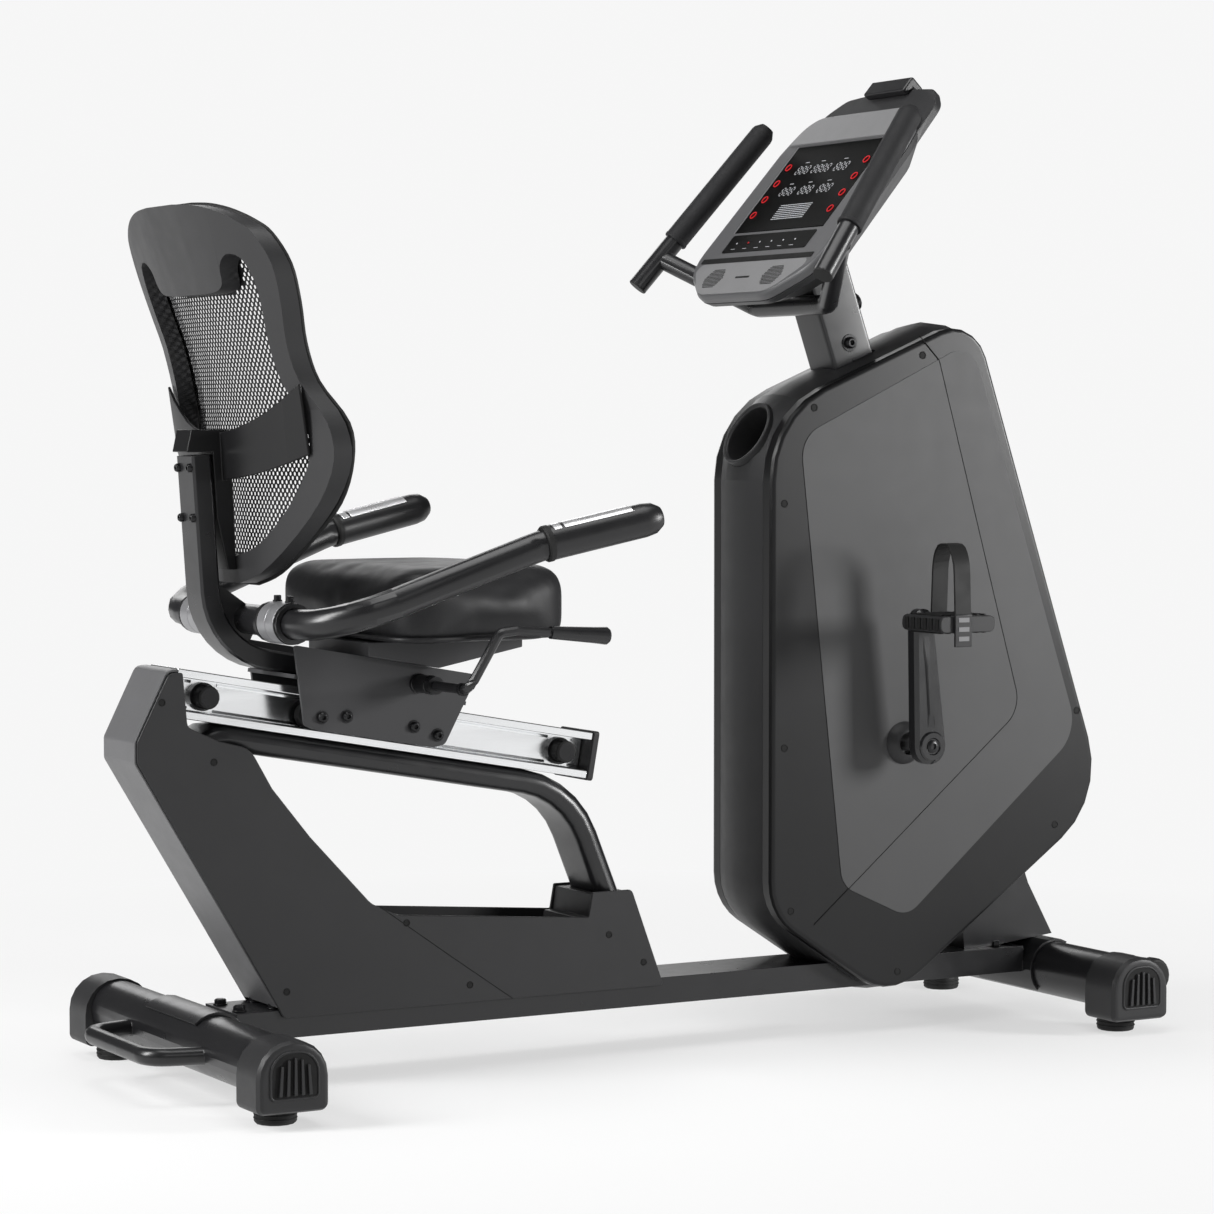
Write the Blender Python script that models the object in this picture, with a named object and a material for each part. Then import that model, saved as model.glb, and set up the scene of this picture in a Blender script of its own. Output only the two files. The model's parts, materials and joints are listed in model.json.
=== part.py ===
"""Recumbent exercise bike, about 1.47 m long.

Metres. X is measured forwards from the rear stabiliser's axis, Y to the rider's left and Z up from
the floor; the empty BIKE then shifts everything so that the bike's box is centred on X = Y = 0.
"""

import math

import bmesh
import bpy
from mathutils import Matrix, Vector

GAP = 0.0003  # clearance between touching pieces
ARC_STEPS = 5  # straight pieces in each rounded corner
ROUND = 20  # sides of a turned piece
TUBE_SIDES = 24  # sides of a stabiliser's tube
CENTRE_X = 0.6249  # middle of the bike's length

# Stabilisers, end caps and feet
FRONT_X = 1.290
TUBE_R = 0.038
TUBE_Z = 0.066
REAR_HALF, FRONT_HALF = 0.266, 0.224  # half lengths of the bare tubes
REAR_FOOT_Y, FRONT_FOOT_Y = 0.2555, 0.2115
CAP_LENGTH, CAP_OVERLAP = 0.066, 0.020
CAP_HALF, CAP_BASE, CAP_TOP = 0.047, 0.0195, 0.1065
FOOT_R, FOOT_H, STEM_R = 0.026, 0.019, 0.005
HANDLE_Z = 0.063
WHEEL_R, WHEEL_X, WHEEL_Y, WHEEL_Z = 0.025, 0.037, 0.244, 0.076  # X is ahead of the front tube

# Main frame
BEAM_HALF, BEAM_LOW, BEAM_HIGH = 0.050, 0.062, 0.098
SADDLE_T = 0.0042
WALL = 0.004  # thickness of the frame's tubes
MAST_LEAN = 0.349  # X lost for each unit of height
MAST_X, MAST_Z = 0.950, 0.987  # a point on the mast's centre line
MAST_DEPTH, MAST_HALF = 0.073, 0.033
MAST_JOINT_Z = 0.860

# Seat rail: u runs along it, down towards the front, and v square to it
RAIL_ANGLE = math.radians(10.1)
RAIL_Z = 0.498  # height of the rail's centre line at X = 0
RAIL_START, RAIL_END = -0.040, 0.558
RAIL_HALF, RAIL_H, FLANGE_T, WEB_HALF = 0.045, 0.061, 0.0102, 0.018
STOP_U = (0.008, 0.5235)
STOP_R = 0.015
ROLLER_U = (0.150, 0.315)
ROLLER_R, ROLLER_V = 0.0167, -0.003
PLATE_IN, PLATE_OUT = 0.070, 0.075

# Hoop under the rail
HOOP_HALF, HOOP_T = 0.045, 0.032

# Shroud
SHROUD_HALF, SHROUD_T = 0.055, 0.0035

# Drive casing, outline corners and their radii
CASE_CORNERS = ((0.811, 0.173), (1.0085, 0.0434), (1.374, 0.3045), (1.143, 0.9885), (0.811, 0.8505))
CASE_RADII = (0.083, 0.085, 0.127, 0.058, 0.135)
CASE_HALF, BAND_HALF, BULGE, CASE_T = 0.078, 0.055, 0.010, 0.0035
CUP_TILT = math.radians(29)
CUP_X, CUP_Z, CUP_R, CUP_RIM_R, CUP_DEPTH = 0.8215, 0.8235, 0.0435, 0.0475, 0.078

# Drive
CRANK_X, CRANK_Z, CRANK_LENGTH = 1.026, 0.399, 0.172
CRANK_LEAN = math.radians(4)
CRANK_IN, CRANK_OUT, AXLE_R = 0.122, 0.146, 0.010
PEDAL_HALF, PEDAL_IN, PEDAL_OUT, PEDAL_T = 0.044, 0.154, 0.246, 0.011
STRAP_H, STRAP_W, STRAP_T = 0.105, 0.026, 0.003
FLYWHEEL_X, FLYWHEEL_Z, FLYWHEEL_R, FLYWHEEL_HALF = 0.925, 0.620, 0.105, 0.012
PULLEY_R, SMALL_PULLEY_R, BELT_T = 0.125, 0.020, 0.002
BELT_IN, BELT_OUT = -0.039, -0.053
BRAKE_X, BRAKE_Z = 0.975, 0.500

# Console: s runs up its face and n stands out of it, towards the rider
FACE_X, FACE_Z = 0.869, 1.103  # middle of the display's lower edge
FACE_ANGLE = math.radians(49.4)  # the face's slope from level
FACE_HALF = 0.163

# Seat
BACK_CURVE = 0.042  # how far the back's edges come forwards, at 0.25 m from its middle
SEAT_BASE = 0.5625


def material(name, colour, roughness, metallic=0.0):
    made = bpy.data.materials.new(name)
    made.use_nodes = True
    shader = made.node_tree.nodes["Principled BSDF"]
    shader.inputs["Base Color"].default_value = (*colour, 1.0)
    shader.inputs["Roughness"].default_value = roughness
    shader.inputs["Metallic"].default_value = metallic
    made.diffuse_color = (*colour, 1.0)
    return made


def empty(name, location=(0, 0, 0), rotation_y=0.0, parent=None):
    made = bpy.data.objects.new(name, None)
    made.location = location
    made.rotation_euler = (0, rotation_y, 0)
    made.parent = parent
    bpy.context.scene.collection.objects.link(made)
    return made


def add(name, bm, finish, parent=None, location=(0, 0, 0), rotation_y=0.0):
    """A scene object made from bm, in the bike's axes unless another parent is given."""
    bmesh.ops.recalc_face_normals(bm, faces=bm.faces)
    mesh = bpy.data.meshes.new(name)
    bm.to_mesh(mesh)
    bm.free()
    mesh.materials.append(finish)
    mesh.shade_smooth()
    mesh.set_sharp_from_angle(angle=math.radians(35))
    made = bpy.data.objects.new(name, mesh)
    made.parent = parent or BIKE
    made.location = location
    made.rotation_euler = (0, rotation_y, 0)
    bpy.context.scene.collection.objects.link(made)
    return made


def combine(target, other, operation):
    other.hide_render = True
    other.display_type = "WIRE"
    step = target.modifiers.new(operation.title() + " " + other.name, "BOOLEAN")
    step.operation = operation
    step.object = other


def join(target, *others):
    for other in others:
        combine(target, other, "UNION")


def cut(target, *others):
    for other in others:
        combine(target, other, "DIFFERENCE")


def loft(rings, closed=False):
    """A mesh skinned over rings of equal length; capped at both ends unless the row is closed."""
    bm = bmesh.new()
    rows = [[bm.verts.new(point) for point in ring] for ring in rings]
    pairs = list(zip(rows, rows[1:]))
    if closed:
        pairs.append((rows[-1], rows[0]))
    for low, high in pairs:
        for i, corner in enumerate(low):
            j = (i + 1) % len(low)
            bm.faces.new((corner, low[j], high[j], high[i]))
    if not closed:
        bm.faces.new(rows[0])
        bm.faces.new(rows[-1])
    return bm


def prism(outline, low, high):
    """An outline in X and Z, extruded along Y."""
    return loft([[(x, y, z) for x, z in outline] for y in (low, high)])


def box(x, y, z):
    return prism([(x[0], z[0]), (x[1], z[0]), (x[1], z[1]), (x[0], z[1])], y[0], y[1])


def rounded(corners, radii, steps=ARC_STEPS, inset=0.0):
    """A convex or concave outline with arcs for corners, moved inwards by inset if it is convex."""
    if not hasattr(radii, "__len__"):
        radii = [radii] * len(corners)
    points = [Vector(corner) for corner in corners]
    outline = []
    for i, corner in enumerate(points):
        before = (points[i - 1] - corner).normalized()
        after = (points[(i + 1) % len(points)] - corner).normalized()
        half = before.angle(after) / 2
        middle = (before + after).normalized()
        corner = corner + middle * (inset / math.sin(half))
        if not radii[i]:
            outline.append(tuple(corner))
            continue
        radius = max(radii[i] - inset, GAP)
        reach = radius / math.tan(half)
        centre = corner + middle * (radius / math.sin(half))
        first = corner + before * reach - centre
        last = corner + after * reach - centre
        turn = first.angle_signed(last)
        for k in range(steps + 1):
            part = turn * k / steps
            spoke = Matrix.Rotation(-part, 2) @ first
            outline.append(tuple(centre + spoke))
    return outline


def circle(radius, count=ROUND, centre=(0.0, 0.0)):
    angles = [2 * math.pi * i / count for i in range(count)]
    return [(centre[0] + radius * math.cos(a), centre[1] + radius * math.sin(a)) for a in angles]


def cylinder(radius, low, high, centre=(0.0, 0.0), count=ROUND):
    """A cylinder along Y, centred on an X and Z."""
    return prism(circle(radius, count, centre), low, high)


def turned(profile, count=ROUND):
    """A profile of (radius, y) points turned about the Y axis; it is closed or it ends on the axis."""
    bm = bmesh.new()
    rows = []
    for radius, y in profile:
        if radius == 0:
            rows.append([bm.verts.new((0, y, 0))] * count)
        else:
            rows.append([bm.verts.new((x, y, z)) for x, z in circle(radius, count)])
    closed = profile[0][0] > 0
    pairs = list(zip(rows, rows[1:])) + ([(rows[-1], rows[0])] if closed else [])
    for low, high in pairs:
        for i in range(count):
            j = (i + 1) % count
            corners = list(dict.fromkeys((low[i], low[j], high[j], high[i])))
            if len(corners) > 2:
                bm.faces.new(corners)
    return bm


def bent(points, radius, steps=ARC_STEPS):
    """Path points with each inner corner replaced by an arc; radius is one value or one per corner."""
    points = [Vector(point) for point in points]
    if not hasattr(radius, "__len__"):
        radius = [radius] * (len(points) - 2)
    path = [points[0]]
    for i, bend in enumerate(radius, start=1):
        corner = points[i]
        before = (points[i - 1] - corner).normalized()
        after = (points[i + 1] - corner).normalized()
        half = before.angle(after) / 2
        centre = corner + (before + after).normalized() * (bend / math.sin(half))
        first = (corner + before * (bend / math.tan(half)) - centre).normalized()
        last = (corner + after * (bend / math.tan(half)) - centre).normalized()
        for k in range(steps + 1):
            path.append(centre + first.slerp(last, k / steps) * bend)
    return path + [points[-1]]


def swept(path, section, side=(0, 1, 0)):
    """A section of (across, out) points carried along a path; across is as near as can be to side."""
    rings = []
    for i, point in enumerate(path):
        along = (path[min(i + 1, len(path) - 1)] - path[max(i - 1, 0)]).normalized()
        across = Vector(side)
        across = (across - along * across.dot(along)).normalized()
        out = along.cross(across)
        rings.append([point + across * a + out * b for a, b in section])
    return loft(rings)


def tube(path, radius, side=(0, 0, 1), count=14):
    return swept(path, circle(radius, count), side)


def rail_point(u, v, y=0.0):
    cos, sin = math.cos(RAIL_ANGLE), math.sin(RAIL_ANGLE)
    return Vector((u * cos + v * sin, y, RAIL_Z - u * sin + v * cos))


def mast_x(z):
    return MAST_X - MAST_LEAN * (z - MAST_Z)


def case_ring(y, inset):
    return [(x, y, z) for x, z in rounded(CASE_CORNERS, CASE_RADII, inset=inset)]


def mirrored(maker):
    """Makes the right-hand piece (Y < 0) and then the left-hand one."""
    for side, sign in (("right", -1), ("left", 1)):
        maker(side, sign)


# ---------------------------------------------------------------- stabilisers


def end_cap(name, x, y_in, sign, finish):
    """A hollow cap on the tube's end, flat below and round above, with a hole for the foot's stem."""
    corners = ((-CAP_HALF, CAP_BASE), (CAP_HALF, CAP_BASE), (CAP_HALF, CAP_TOP), (-CAP_HALF, CAP_TOP))
    radii = (0.010, 0.010, 0.045, 0.045)
    stations = ((0.0, 0.0), (CAP_LENGTH - 0.008, 0.0), (CAP_LENGTH - 0.002, 0.003), (CAP_LENGTH, 0.008))
    rings = []
    for reach, inset in stations:
        outline = rounded(corners, radii, inset=inset)
        rings.append([(x + a, sign * (y_in + reach), b) for a, b in outline])
    cap = add(name, loft(rings), finish)
    near, far = sorted((sign * (y_in - 0.01), sign * (y_in + CAP_OVERLAP + GAP)))
    socket = cylinder(TUBE_R + GAP, near, far, (x, TUBE_Z), TUBE_SIDES)
    socket = add(name + "_socket", socket, finish)
    cut(cap, socket)
    return cap


def foot(name, x, y):
    """A screw-in foot; it turns down out of its cap by sliding along its own axis."""
    profile = [(0, 0), (FOOT_R - 0.002, 0), (FOOT_R, 0.003), (FOOT_R, FOOT_H - 0.002),
               (FOOT_R - 0.002, FOOT_H), (STEM_R, FOOT_H), (STEM_R, 0.050), (0, 0.050)]
    bm = turned(profile, 14)
    bmesh.ops.rotate(bm, verts=bm.verts, matrix=Matrix.Rotation(math.radians(90), 3, "X"))
    add(name, bm, RUBBER, location=(x, y, 0))


def stem_bore(piece, x, y):
    bm = turned([(0, 0.01), (STEM_R + GAP, 0.01), (STEM_R + GAP, 0.052), (0, 0.052)], 14)
    bmesh.ops.rotate(bm, verts=bm.verts, matrix=Matrix.Rotation(math.radians(90), 3, "X"))
    cut(piece, add(f"{piece.name}_stem_bore_{y:.1f}", bm, RUBBER, location=(x, y, 0)))


def rear_end(side, sign):
    cap = end_cap(f"rear_end_cap_{side}", 0.0, REAR_HALF - CAP_OVERLAP, sign, PLASTIC)
    stem_bore(cap, 0.0, sign * REAR_FOOT_Y)
    foot(f"rear_foot_{side}", 0.0, sign * REAR_FOOT_Y)


def front_end(side, sign):
    cap = end_cap(f"front_end_cap_{side}", FRONT_X, FRONT_HALF - CAP_OVERLAP, sign, PLASTIC)
    stem_bore(cap, FRONT_X, sign * FRONT_FOOT_Y)
    foot(f"front_foot_{side}", FRONT_X, sign * FRONT_FOOT_Y)
    wheel_x, wheel_y, half = FRONT_X + WHEEL_X, sign * WHEEL_Y, 0.010
    slot = box((wheel_x - WHEEL_R - 0.002, wheel_x + 0.1),
               (wheel_y - half - 0.002, wheel_y + half + 0.002), (WHEEL_Z - WHEEL_R - 0.002, 0.15))
    cut(cap, add(f"wheel_slot_{side}", slot, PLASTIC))
    pin = cylinder(0.004, wheel_y - half - 0.006, wheel_y + half + 0.006, (wheel_x, WHEEL_Z), 12)
    bm = turned([(0.0045, -half), (WHEEL_R - 0.003, -half), (WHEEL_R, -half + 0.003),
                 (WHEEL_R, half - 0.003), (WHEEL_R - 0.003, half), (0.0045, half)])
    join(cap, add(f"wheel_pin_{side}", pin, PLASTIC))
    add(f"transport_wheel_{side}", bm, RUBBER, location=(wheel_x, wheel_y, WHEEL_Z))


def stabilisers():
    rear = add("rear_stabiliser", cylinder(TUBE_R, -REAR_HALF, REAR_HALF, (0, TUBE_Z), TUBE_SIDES), BLACK)
    path = bent([(-0.02, 0.122, HANDLE_Z), (-0.099, 0.102, HANDLE_Z), (-0.099, -0.102, HANDLE_Z),
                 (-0.02, -0.122, HANDLE_Z)], 0.030)
    join(rear, add("lift_handle", tube(path, 0.0115, count=12), BLACK))
    front = cylinder(TUBE_R, -FRONT_HALF, FRONT_HALF, (FRONT_X, TUBE_Z), TUBE_SIDES)
    front = add("front_stabiliser", front, BLACK)
    for name, tube_end, x in (("rear", rear, 0.0), ("front", front, FRONT_X)):
        core = cylinder(TUBE_R - WALL, -0.3, 0.3, (x, TUBE_Z), 16)
        cut(tube_end, add(f"{name}_tube_core", core, BLACK))
    for sign in (-1, 1):
        stem_bore(rear, 0.0, sign * REAR_FOOT_Y)
        stem_bore(front, FRONT_X, sign * FRONT_FOOT_Y)
    mirrored(rear_end)
    mirrored(front_end)


# ---------------------------------------------------------------- main frame and hoop


def saddle(x, start, stop, half):
    """A curved plate over a stabiliser tube, between two of its corners, counted from +X towards +Z."""
    inner, outer = TUBE_R + GAP, TUBE_R + SADDLE_T
    angles = [2 * math.pi * i / TUBE_SIDES for i in range(start, stop + 1)]
    outline = [(x + outer * math.cos(a), TUBE_Z + outer * math.sin(a)) for a in angles]
    outline += [(x + inner * math.cos(a), TUBE_Z + inner * math.sin(a)) for a in reversed(angles)]
    return prism(outline, -half, half)


def drive_arm(sign):
    """One of the two plates that carry the flywheel's shaft and the brake arm's pin."""
    outline = [(1.090, 0.660), (0.925, 0.645), (0.903, 0.620), (0.918, 0.594), (0.958, 0.540),
               (0.958, 0.492), (0.985, 0.480), (1.125, 0.510)]
    near, far = sorted((sign * 0.018, sign * 0.026))
    return prism(outline, near, far)


def main_frame():
    frame = add("main_frame", box((0.0400, FRONT_X - 0.0400), (-BEAM_HALF, BEAM_HALF),
                                  (BEAM_LOW, BEAM_HIGH)), BLACK)
    foot_z, half_depth = BEAM_HIGH - 0.004, MAST_DEPTH / 2
    post = [(1.160, foot_z), (1.312, 0.110), (1.270, 0.185), (mast_x(0.330) + half_depth, 0.330),
            (mast_x(MAST_JOINT_Z) + half_depth, MAST_JOINT_Z),
            (mast_x(MAST_JOINT_Z) - half_depth, MAST_JOINT_Z), (mast_x(0.330) - half_depth, 0.330)]
    plate = [(CRANK_X - 0.010, CRANK_Z + 0.022), (CRANK_X - 0.010, CRANK_Z - 0.022), (1.150, 0.330),
             (1.130, 0.440)]
    shell = cylinder(0.026, -0.031, 0.031, (CRANK_X, CRANK_Z), 16)
    brake_pin = cylinder(0.004, -0.020, 0.020, (BRAKE_X, BRAKE_Z), 12)
    join(frame, add("rear_saddle", saddle(0, -3, 9, 0.080), BLACK),
         add("front_saddle", saddle(FRONT_X, 4, 15, 0.070), BLACK),
         add("post", prism(post, -MAST_HALF, MAST_HALF), BLACK),
         add("crank_plate", prism(plate, -0.008, 0.008), BLACK), add("crank_shell", shell, BLACK),
         add("drive_arm_right", drive_arm(-1), BLACK), add("drive_arm_left", drive_arm(1), BLACK),
         add("brake_pin", brake_pin, BLACK))
    inner_half, inner_depth = MAST_HALF - WALL, half_depth - WALL
    core = [(1.166, BEAM_HIGH - 0.010), (1.236, BEAM_HIGH - 0.010), (1.262, 0.117), (1.302, 0.117),
            (1.265, 0.183), (mast_x(0.330) + inner_depth, 0.330), (mast_x(0.900) + inner_depth, 0.900),
            (mast_x(0.900) - inner_depth, 0.900), (mast_x(0.330) - inner_depth, 0.330)]
    beam_core = box((0.046, 1.240), (WALL - BEAM_HALF, BEAM_HALF - WALL),
                    (BEAM_LOW + WALL, BEAM_HIGH - WALL))
    cut(frame, add("beam_core", beam_core, BLACK),
        add("post_core", prism(core, -inner_half, inner_half), BLACK))
    axle_bore = cylinder(AXLE_R + GAP, -0.04, 0.04, (CRANK_X, CRANK_Z), 16)
    shaft_bore = cylinder(0.008 + GAP, -0.04, 0.04, (FLYWHEEL_X, FLYWHEEL_Z), 16)
    cut(frame, add("axle_bore", axle_bore, BLACK), add("shaft_bore", shaft_bore, BLACK))


def stadium(half_width, half_thickness, steps=4):
    corners = [(-half_width, -half_thickness), (half_width, -half_thickness),
               (half_width, half_thickness), (-half_width, half_thickness)]
    return rounded(corners, half_thickness * 0.98, steps)


def hoop_path():
    """Both feet stand on the beam; the top runs along the rail's underside."""
    v = -(RAIL_H + HOOP_T) / 2 - GAP
    top_front = rail_point(0.541, v)
    foot_z = BEAM_HIGH - 0.015
    return bent([(0.155, 0, foot_z), rail_point(-0.016, v), top_front, (0.635, 0, foot_z)], (0.030, 0.125))


def hoop_and_rail():
    hoop = add("support_hoop", swept(hoop_path(), stadium(HOOP_HALF, HOOP_T / 2)), BLACK)
    below = box((0.0, 0.8), (-0.1, 0.1), (0.0, BEAM_HIGH + GAP))
    core = swept(hoop_path(), stadium(HOOP_HALF - WALL, HOOP_T / 2 - WALL, 2))
    cut(hoop, add("hoop_core", core, BLACK), add("hoop_foot_trim", below, BLACK))
    high = RAIL_H / 2
    web = high - FLANGE_T
    section = [(-RAIL_HALF, -high), (RAIL_HALF, -high), (RAIL_HALF, -web), (WEB_HALF, -web),
               (WEB_HALF, web), (RAIL_HALF, web), (RAIL_HALF, high), (-RAIL_HALF, high),
               (-RAIL_HALF, web), (-WEB_HALF, web), (-WEB_HALF, -web), (-RAIL_HALF, -web)]
    rail = add("seat_rail", loft([[(u, y, v) for y, v in section] for u in (RAIL_START, RAIL_END)]),
               ALUMINIUM, RAIL)
    for name, u in zip(("rear", "front"), STOP_U):
        bore = cylinder(STOP_R + GAP, -0.05, 0.05, (u, 0), 16)
        cut(rail, add(f"{name}_stop_bore", bore, RUBBER, RAIL))
        half = RAIL_HALF - 0.001
        stop = turned([(0, -half), (STOP_R - 0.002, -half), (STOP_R, -half + 0.002),
                       (STOP_R, half - 0.002), (STOP_R - 0.002, half), (0, half)], 16)
        add(f"rail_stop_{name}", stop, RUBBER, RAIL, location=(u, 0, 0))
    outline = rounded([(-0.047, -0.033), (0.047, -0.033), (0.047, 0.033), (-0.047, 0.033)], 0.004, 2)
    cap = [[(u, y, v) for y, v in outline] for u in (RAIL_END + GAP, RAIL_END + 0.009)]
    add("rail_end_cap", loft(cap), PLASTIC, RAIL)


# ---------------------------------------------------------------- shroud and tray

# The side panel's outline, from its lower rear corner round by the front, in X and Z
PANEL_CORNERS = ((0.103, 0.088), (0.657, 0.088), (0.608, 0.220), (0.548, 0.220), (0.542, 0.187),
                 (0.262, 0.209), (0.225, 0.226), (0.140, 0.316), (0.088, 0.380), (0.058, 0.432),
                 (0.015, 0.443), (-0.026, 0.462), (-0.032, 0.530), (-0.050, 0.530), (-0.093, 0.446),
                 (-0.093, 0.420))
PANEL_RADII = (0.006, 0.004, 0.008, 0.002, 0.002, 0.02, 0.03, 0.04, 0.02, 0.03,
               0.01, 0.01, 0.003, 0.012, 0.012, 0.012)
STRIP_T = 0.003


def shroud_panel(side, sign):
    outline = rounded(PANEL_CORNERS, PANEL_RADII, 3)
    outer = sign * SHROUD_HALF
    inner = sign * (SHROUD_HALF - SHROUD_T)
    add(f"shroud_{side}", prism(outline, inner, outer), PLASTIC)


def strip(outline, thickness):
    """A ribbon of that thickness, on the left of an open line of (x, z) points."""
    inner = []
    points = [Vector(point) for point in outline]
    for i, point in enumerate(points):
        before = (point - points[max(i - 1, 0)]).normalized() if i else None
        after = (points[i + 1] - point).normalized() if i < len(points) - 1 else None
        before, after = before or after, after or before
        along = (before + after).normalized()
        normal = Vector((-along.y, along.x))
        inner.append(tuple(point + normal * thickness / max(along.dot(before), 0.35)))
    return list(outline) + inner[::-1]


def shroud_back():
    """The cover strip down the rear edge, from under the rail's end to the beam."""
    half = SHROUD_HALF - SHROUD_T - GAP
    line = [(-0.036, 0.534), (-0.052, 0.534), (-0.0955, 0.446), (-0.0955, 0.419), (0.0945, 0.1018)]
    path = bent([(x, 0, z) for x, z in line], 0.012, 3)
    outline = strip([(point.x, point.z) for point in path], STRIP_T)
    add("shroud_back", prism(outline, -half, half), GREY)


def storage_tray():
    """One moulding: the closing wall, the open bin and the sleeve round the hoop's front leg."""
    half = SHROUD_HALF - SHROUD_T - GAP
    line = [(0.0745, 0.397), (0.086, 0.378), (0.138, 0.313),
            (0.224, 0.223), (0.262, 0.206), (0.275, 0.206), (0.285, 0.128), (0.520, 0.128),
            (0.532, 0.186), (0.546, 0.186), (0.550, 0.217), (0.606, 0.217), (0.6494, 0.1025)]
    outline = strip(line[::-1], 0.003)
    tray = add("storage_tray", prism(outline, -half, half), PLASTIC)
    leg = swept(hoop_path()[-2:], stadium(HOOP_HALF + GAP, HOOP_T / 2 + 0.001))
    cut(tray, add("sleeve_opening", leg, PLASTIC))


# ---------------------------------------------------------------- drive casing


def casing_cover(side, sign):
    """A shallow hollow cover with a rounded rim and a hole for the crank axle."""
    edge, face = sign * (BAND_HALF + GAP), sign * CASE_HALF
    rim = sign * (CASE_HALF - 0.007)
    wall = sign * (CASE_HALF - CASE_T)
    rings = [(edge, 0.0), (rim, 0.0), (sign * (CASE_HALF - 0.002), 0.002), (face, 0.007)]
    cover = add(f"casing_{side}", loft([case_ring(y, inset) for y, inset in rings]), PLASTIC)
    pocket = loft([case_ring(y, CASE_T) for y in (sign * (BAND_HALF - 0.01), wall)])
    cut(cover, add(f"casing_{side}_pocket", pocket, PLASTIC))
    near, far = sorted((sign * 0.06, sign * 0.09))
    bore = cylinder(AXLE_R + 0.004, near, far, (CRANK_X, CRANK_Z), 16)
    cut(cover, add(f"casing_{side}_bore", bore, PLASTIC))


def casing_band():
    """The bulging middle ring between the covers, open for the beam, post, mast and bottle holder."""
    rings = [case_ring(y, inset) for y, inset in (
        (-BAND_HALF, 0.0), (-BAND_HALF * 0.55, -BULGE * 0.7), (0, -BULGE), (BAND_HALF * 0.55, -BULGE * 0.7),
        (BAND_HALF, 0.0), (BAND_HALF, CASE_T), (BAND_HALF * 0.55, CASE_T - BULGE * 0.7),
        (0, CASE_T - BULGE), (-BAND_HALF * 0.55, CASE_T - BULGE * 0.7), (-BAND_HALF, CASE_T))]
    band = add("casing_band", loft(rings, closed=True), PLASTIC)
    beam = box((0.70, 1.34), (-BEAM_HALF - GAP, BEAM_HALF + GAP), (BEAM_LOW - GAP, BEAM_HIGH + GAP))
    clear = MAST_DEPTH / 2 + 0.001
    low, high = 0.08, 1.04
    post = prism([(1.150, low), (1.35, low), (1.35, 0.14),
                  (mast_x(0.33) + clear + 0.008, 0.33), (mast_x(high) + clear, high),
                  (mast_x(high) - clear, high), (mast_x(0.33) - clear, 0.33)],
                 -MAST_HALF - 0.001, MAST_HALF + 0.001)
    cup = cylinder(CUP_RIM_R + GAP, -0.05, 0.03, count=24)
    bmesh.ops.rotate(cup, verts=cup.verts, matrix=Matrix.Rotation(math.radians(90), 3, "Z"))
    opening = add("cup_opening", cup, PLASTIC, location=(CUP_X, 0, CUP_Z), rotation_y=CUP_TILT)
    cut(band, add("beam_opening", beam, PLASTIC), add("post_opening", post, PLASTIC), opening)


def bottle_holder():
    """A round cup, sunk into the casing square to its sloping shoulder."""
    rim, wall = CUP_RIM_R, CUP_R
    profile = [(0, CUP_DEPTH), (wall, CUP_DEPTH), (wall, 0.014), (rim, 0.014), (rim, -0.002),
               (rim - 0.002, -0.004), (wall - 0.002, -0.002), (wall - 0.003, 0.002),
               (wall - 0.003, CUP_DEPTH - 0.003), (0, CUP_DEPTH - 0.003)]
    bm = turned(profile, 24)
    bmesh.ops.rotate(bm, verts=bm.verts, matrix=Matrix.Rotation(math.radians(-90), 3, "Z"))
    add("bottle_holder", bm, PLASTIC, location=(CUP_X, 0, CUP_Z), rotation_y=CUP_TILT)


# ---------------------------------------------------------------- drive


def crank(side, sign):
    """A tapered arm; the right one stands up and the left one hangs down."""
    turn = -CRANK_LEAN + (math.pi if sign > 0 else 0.0)
    boss, tip, count = 0.025, 0.016, 10
    low = [(boss * math.cos(a), boss * math.sin(a))
           for a in (math.pi + math.pi * i / count for i in range(count + 1))]
    high = [(tip * math.cos(a), CRANK_LENGTH + tip * math.sin(a))
            for a in (math.pi * i / count for i in range(count + 1))]
    near, far = sorted((sign * CRANK_IN, sign * CRANK_OUT))
    add(f"crank_{side}", prism(low + high, near, far), SATIN, location=(CRANK_X, 0, CRANK_Z),
        rotation_y=turn)
    x = CRANK_X + CRANK_LENGTH * math.sin(turn)
    z = CRANK_Z + CRANK_LENGTH * math.cos(turn)
    pedal(side, sign, (x, 0, z))


def pedal(side, sign, place):
    near, far = sorted((sign * PEDAL_IN, sign * PEDAL_OUT))
    corners = [(-PEDAL_HALF, -PEDAL_T), (PEDAL_HALF, -PEDAL_T), (PEDAL_HALF, PEDAL_T),
               (-PEDAL_HALF, PEDAL_T)]
    body = add(f"pedal_{side}", prism(rounded(corners, 0.008, 3), near, far), PLASTIC, location=place)
    near, far = sorted((sign * (CRANK_OUT + GAP), sign * (PEDAL_IN + 0.01)))
    join(body, add(f"pedal_{side}_stub", cylinder(0.008, near, far, count=14), PLASTIC, location=place))
    middle = sign * (PEDAL_IN + PEDAL_OUT) / 2
    reach = sign * ((PEDAL_OUT - PEDAL_IN) / 2 + STRAP_T / 2 + 0.0012)
    inner_x, outer_x = 0.018, -0.010
    path = bent([(inner_x, middle - reach, 0.0090), (inner_x, middle - reach * 0.9, STRAP_H),
                 (outer_x, middle + reach * 0.9, STRAP_H), (outer_x, middle + reach, -0.008)], 0.038)
    half, thick = STRAP_W / 2, STRAP_T / 2
    section = [(-half, -thick), (half, -thick), (half, thick), (-half, thick)]
    add(f"pedal_strap_{side}", swept(path, section, side=(1, 0, 0)), RUBBER, location=place)


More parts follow.
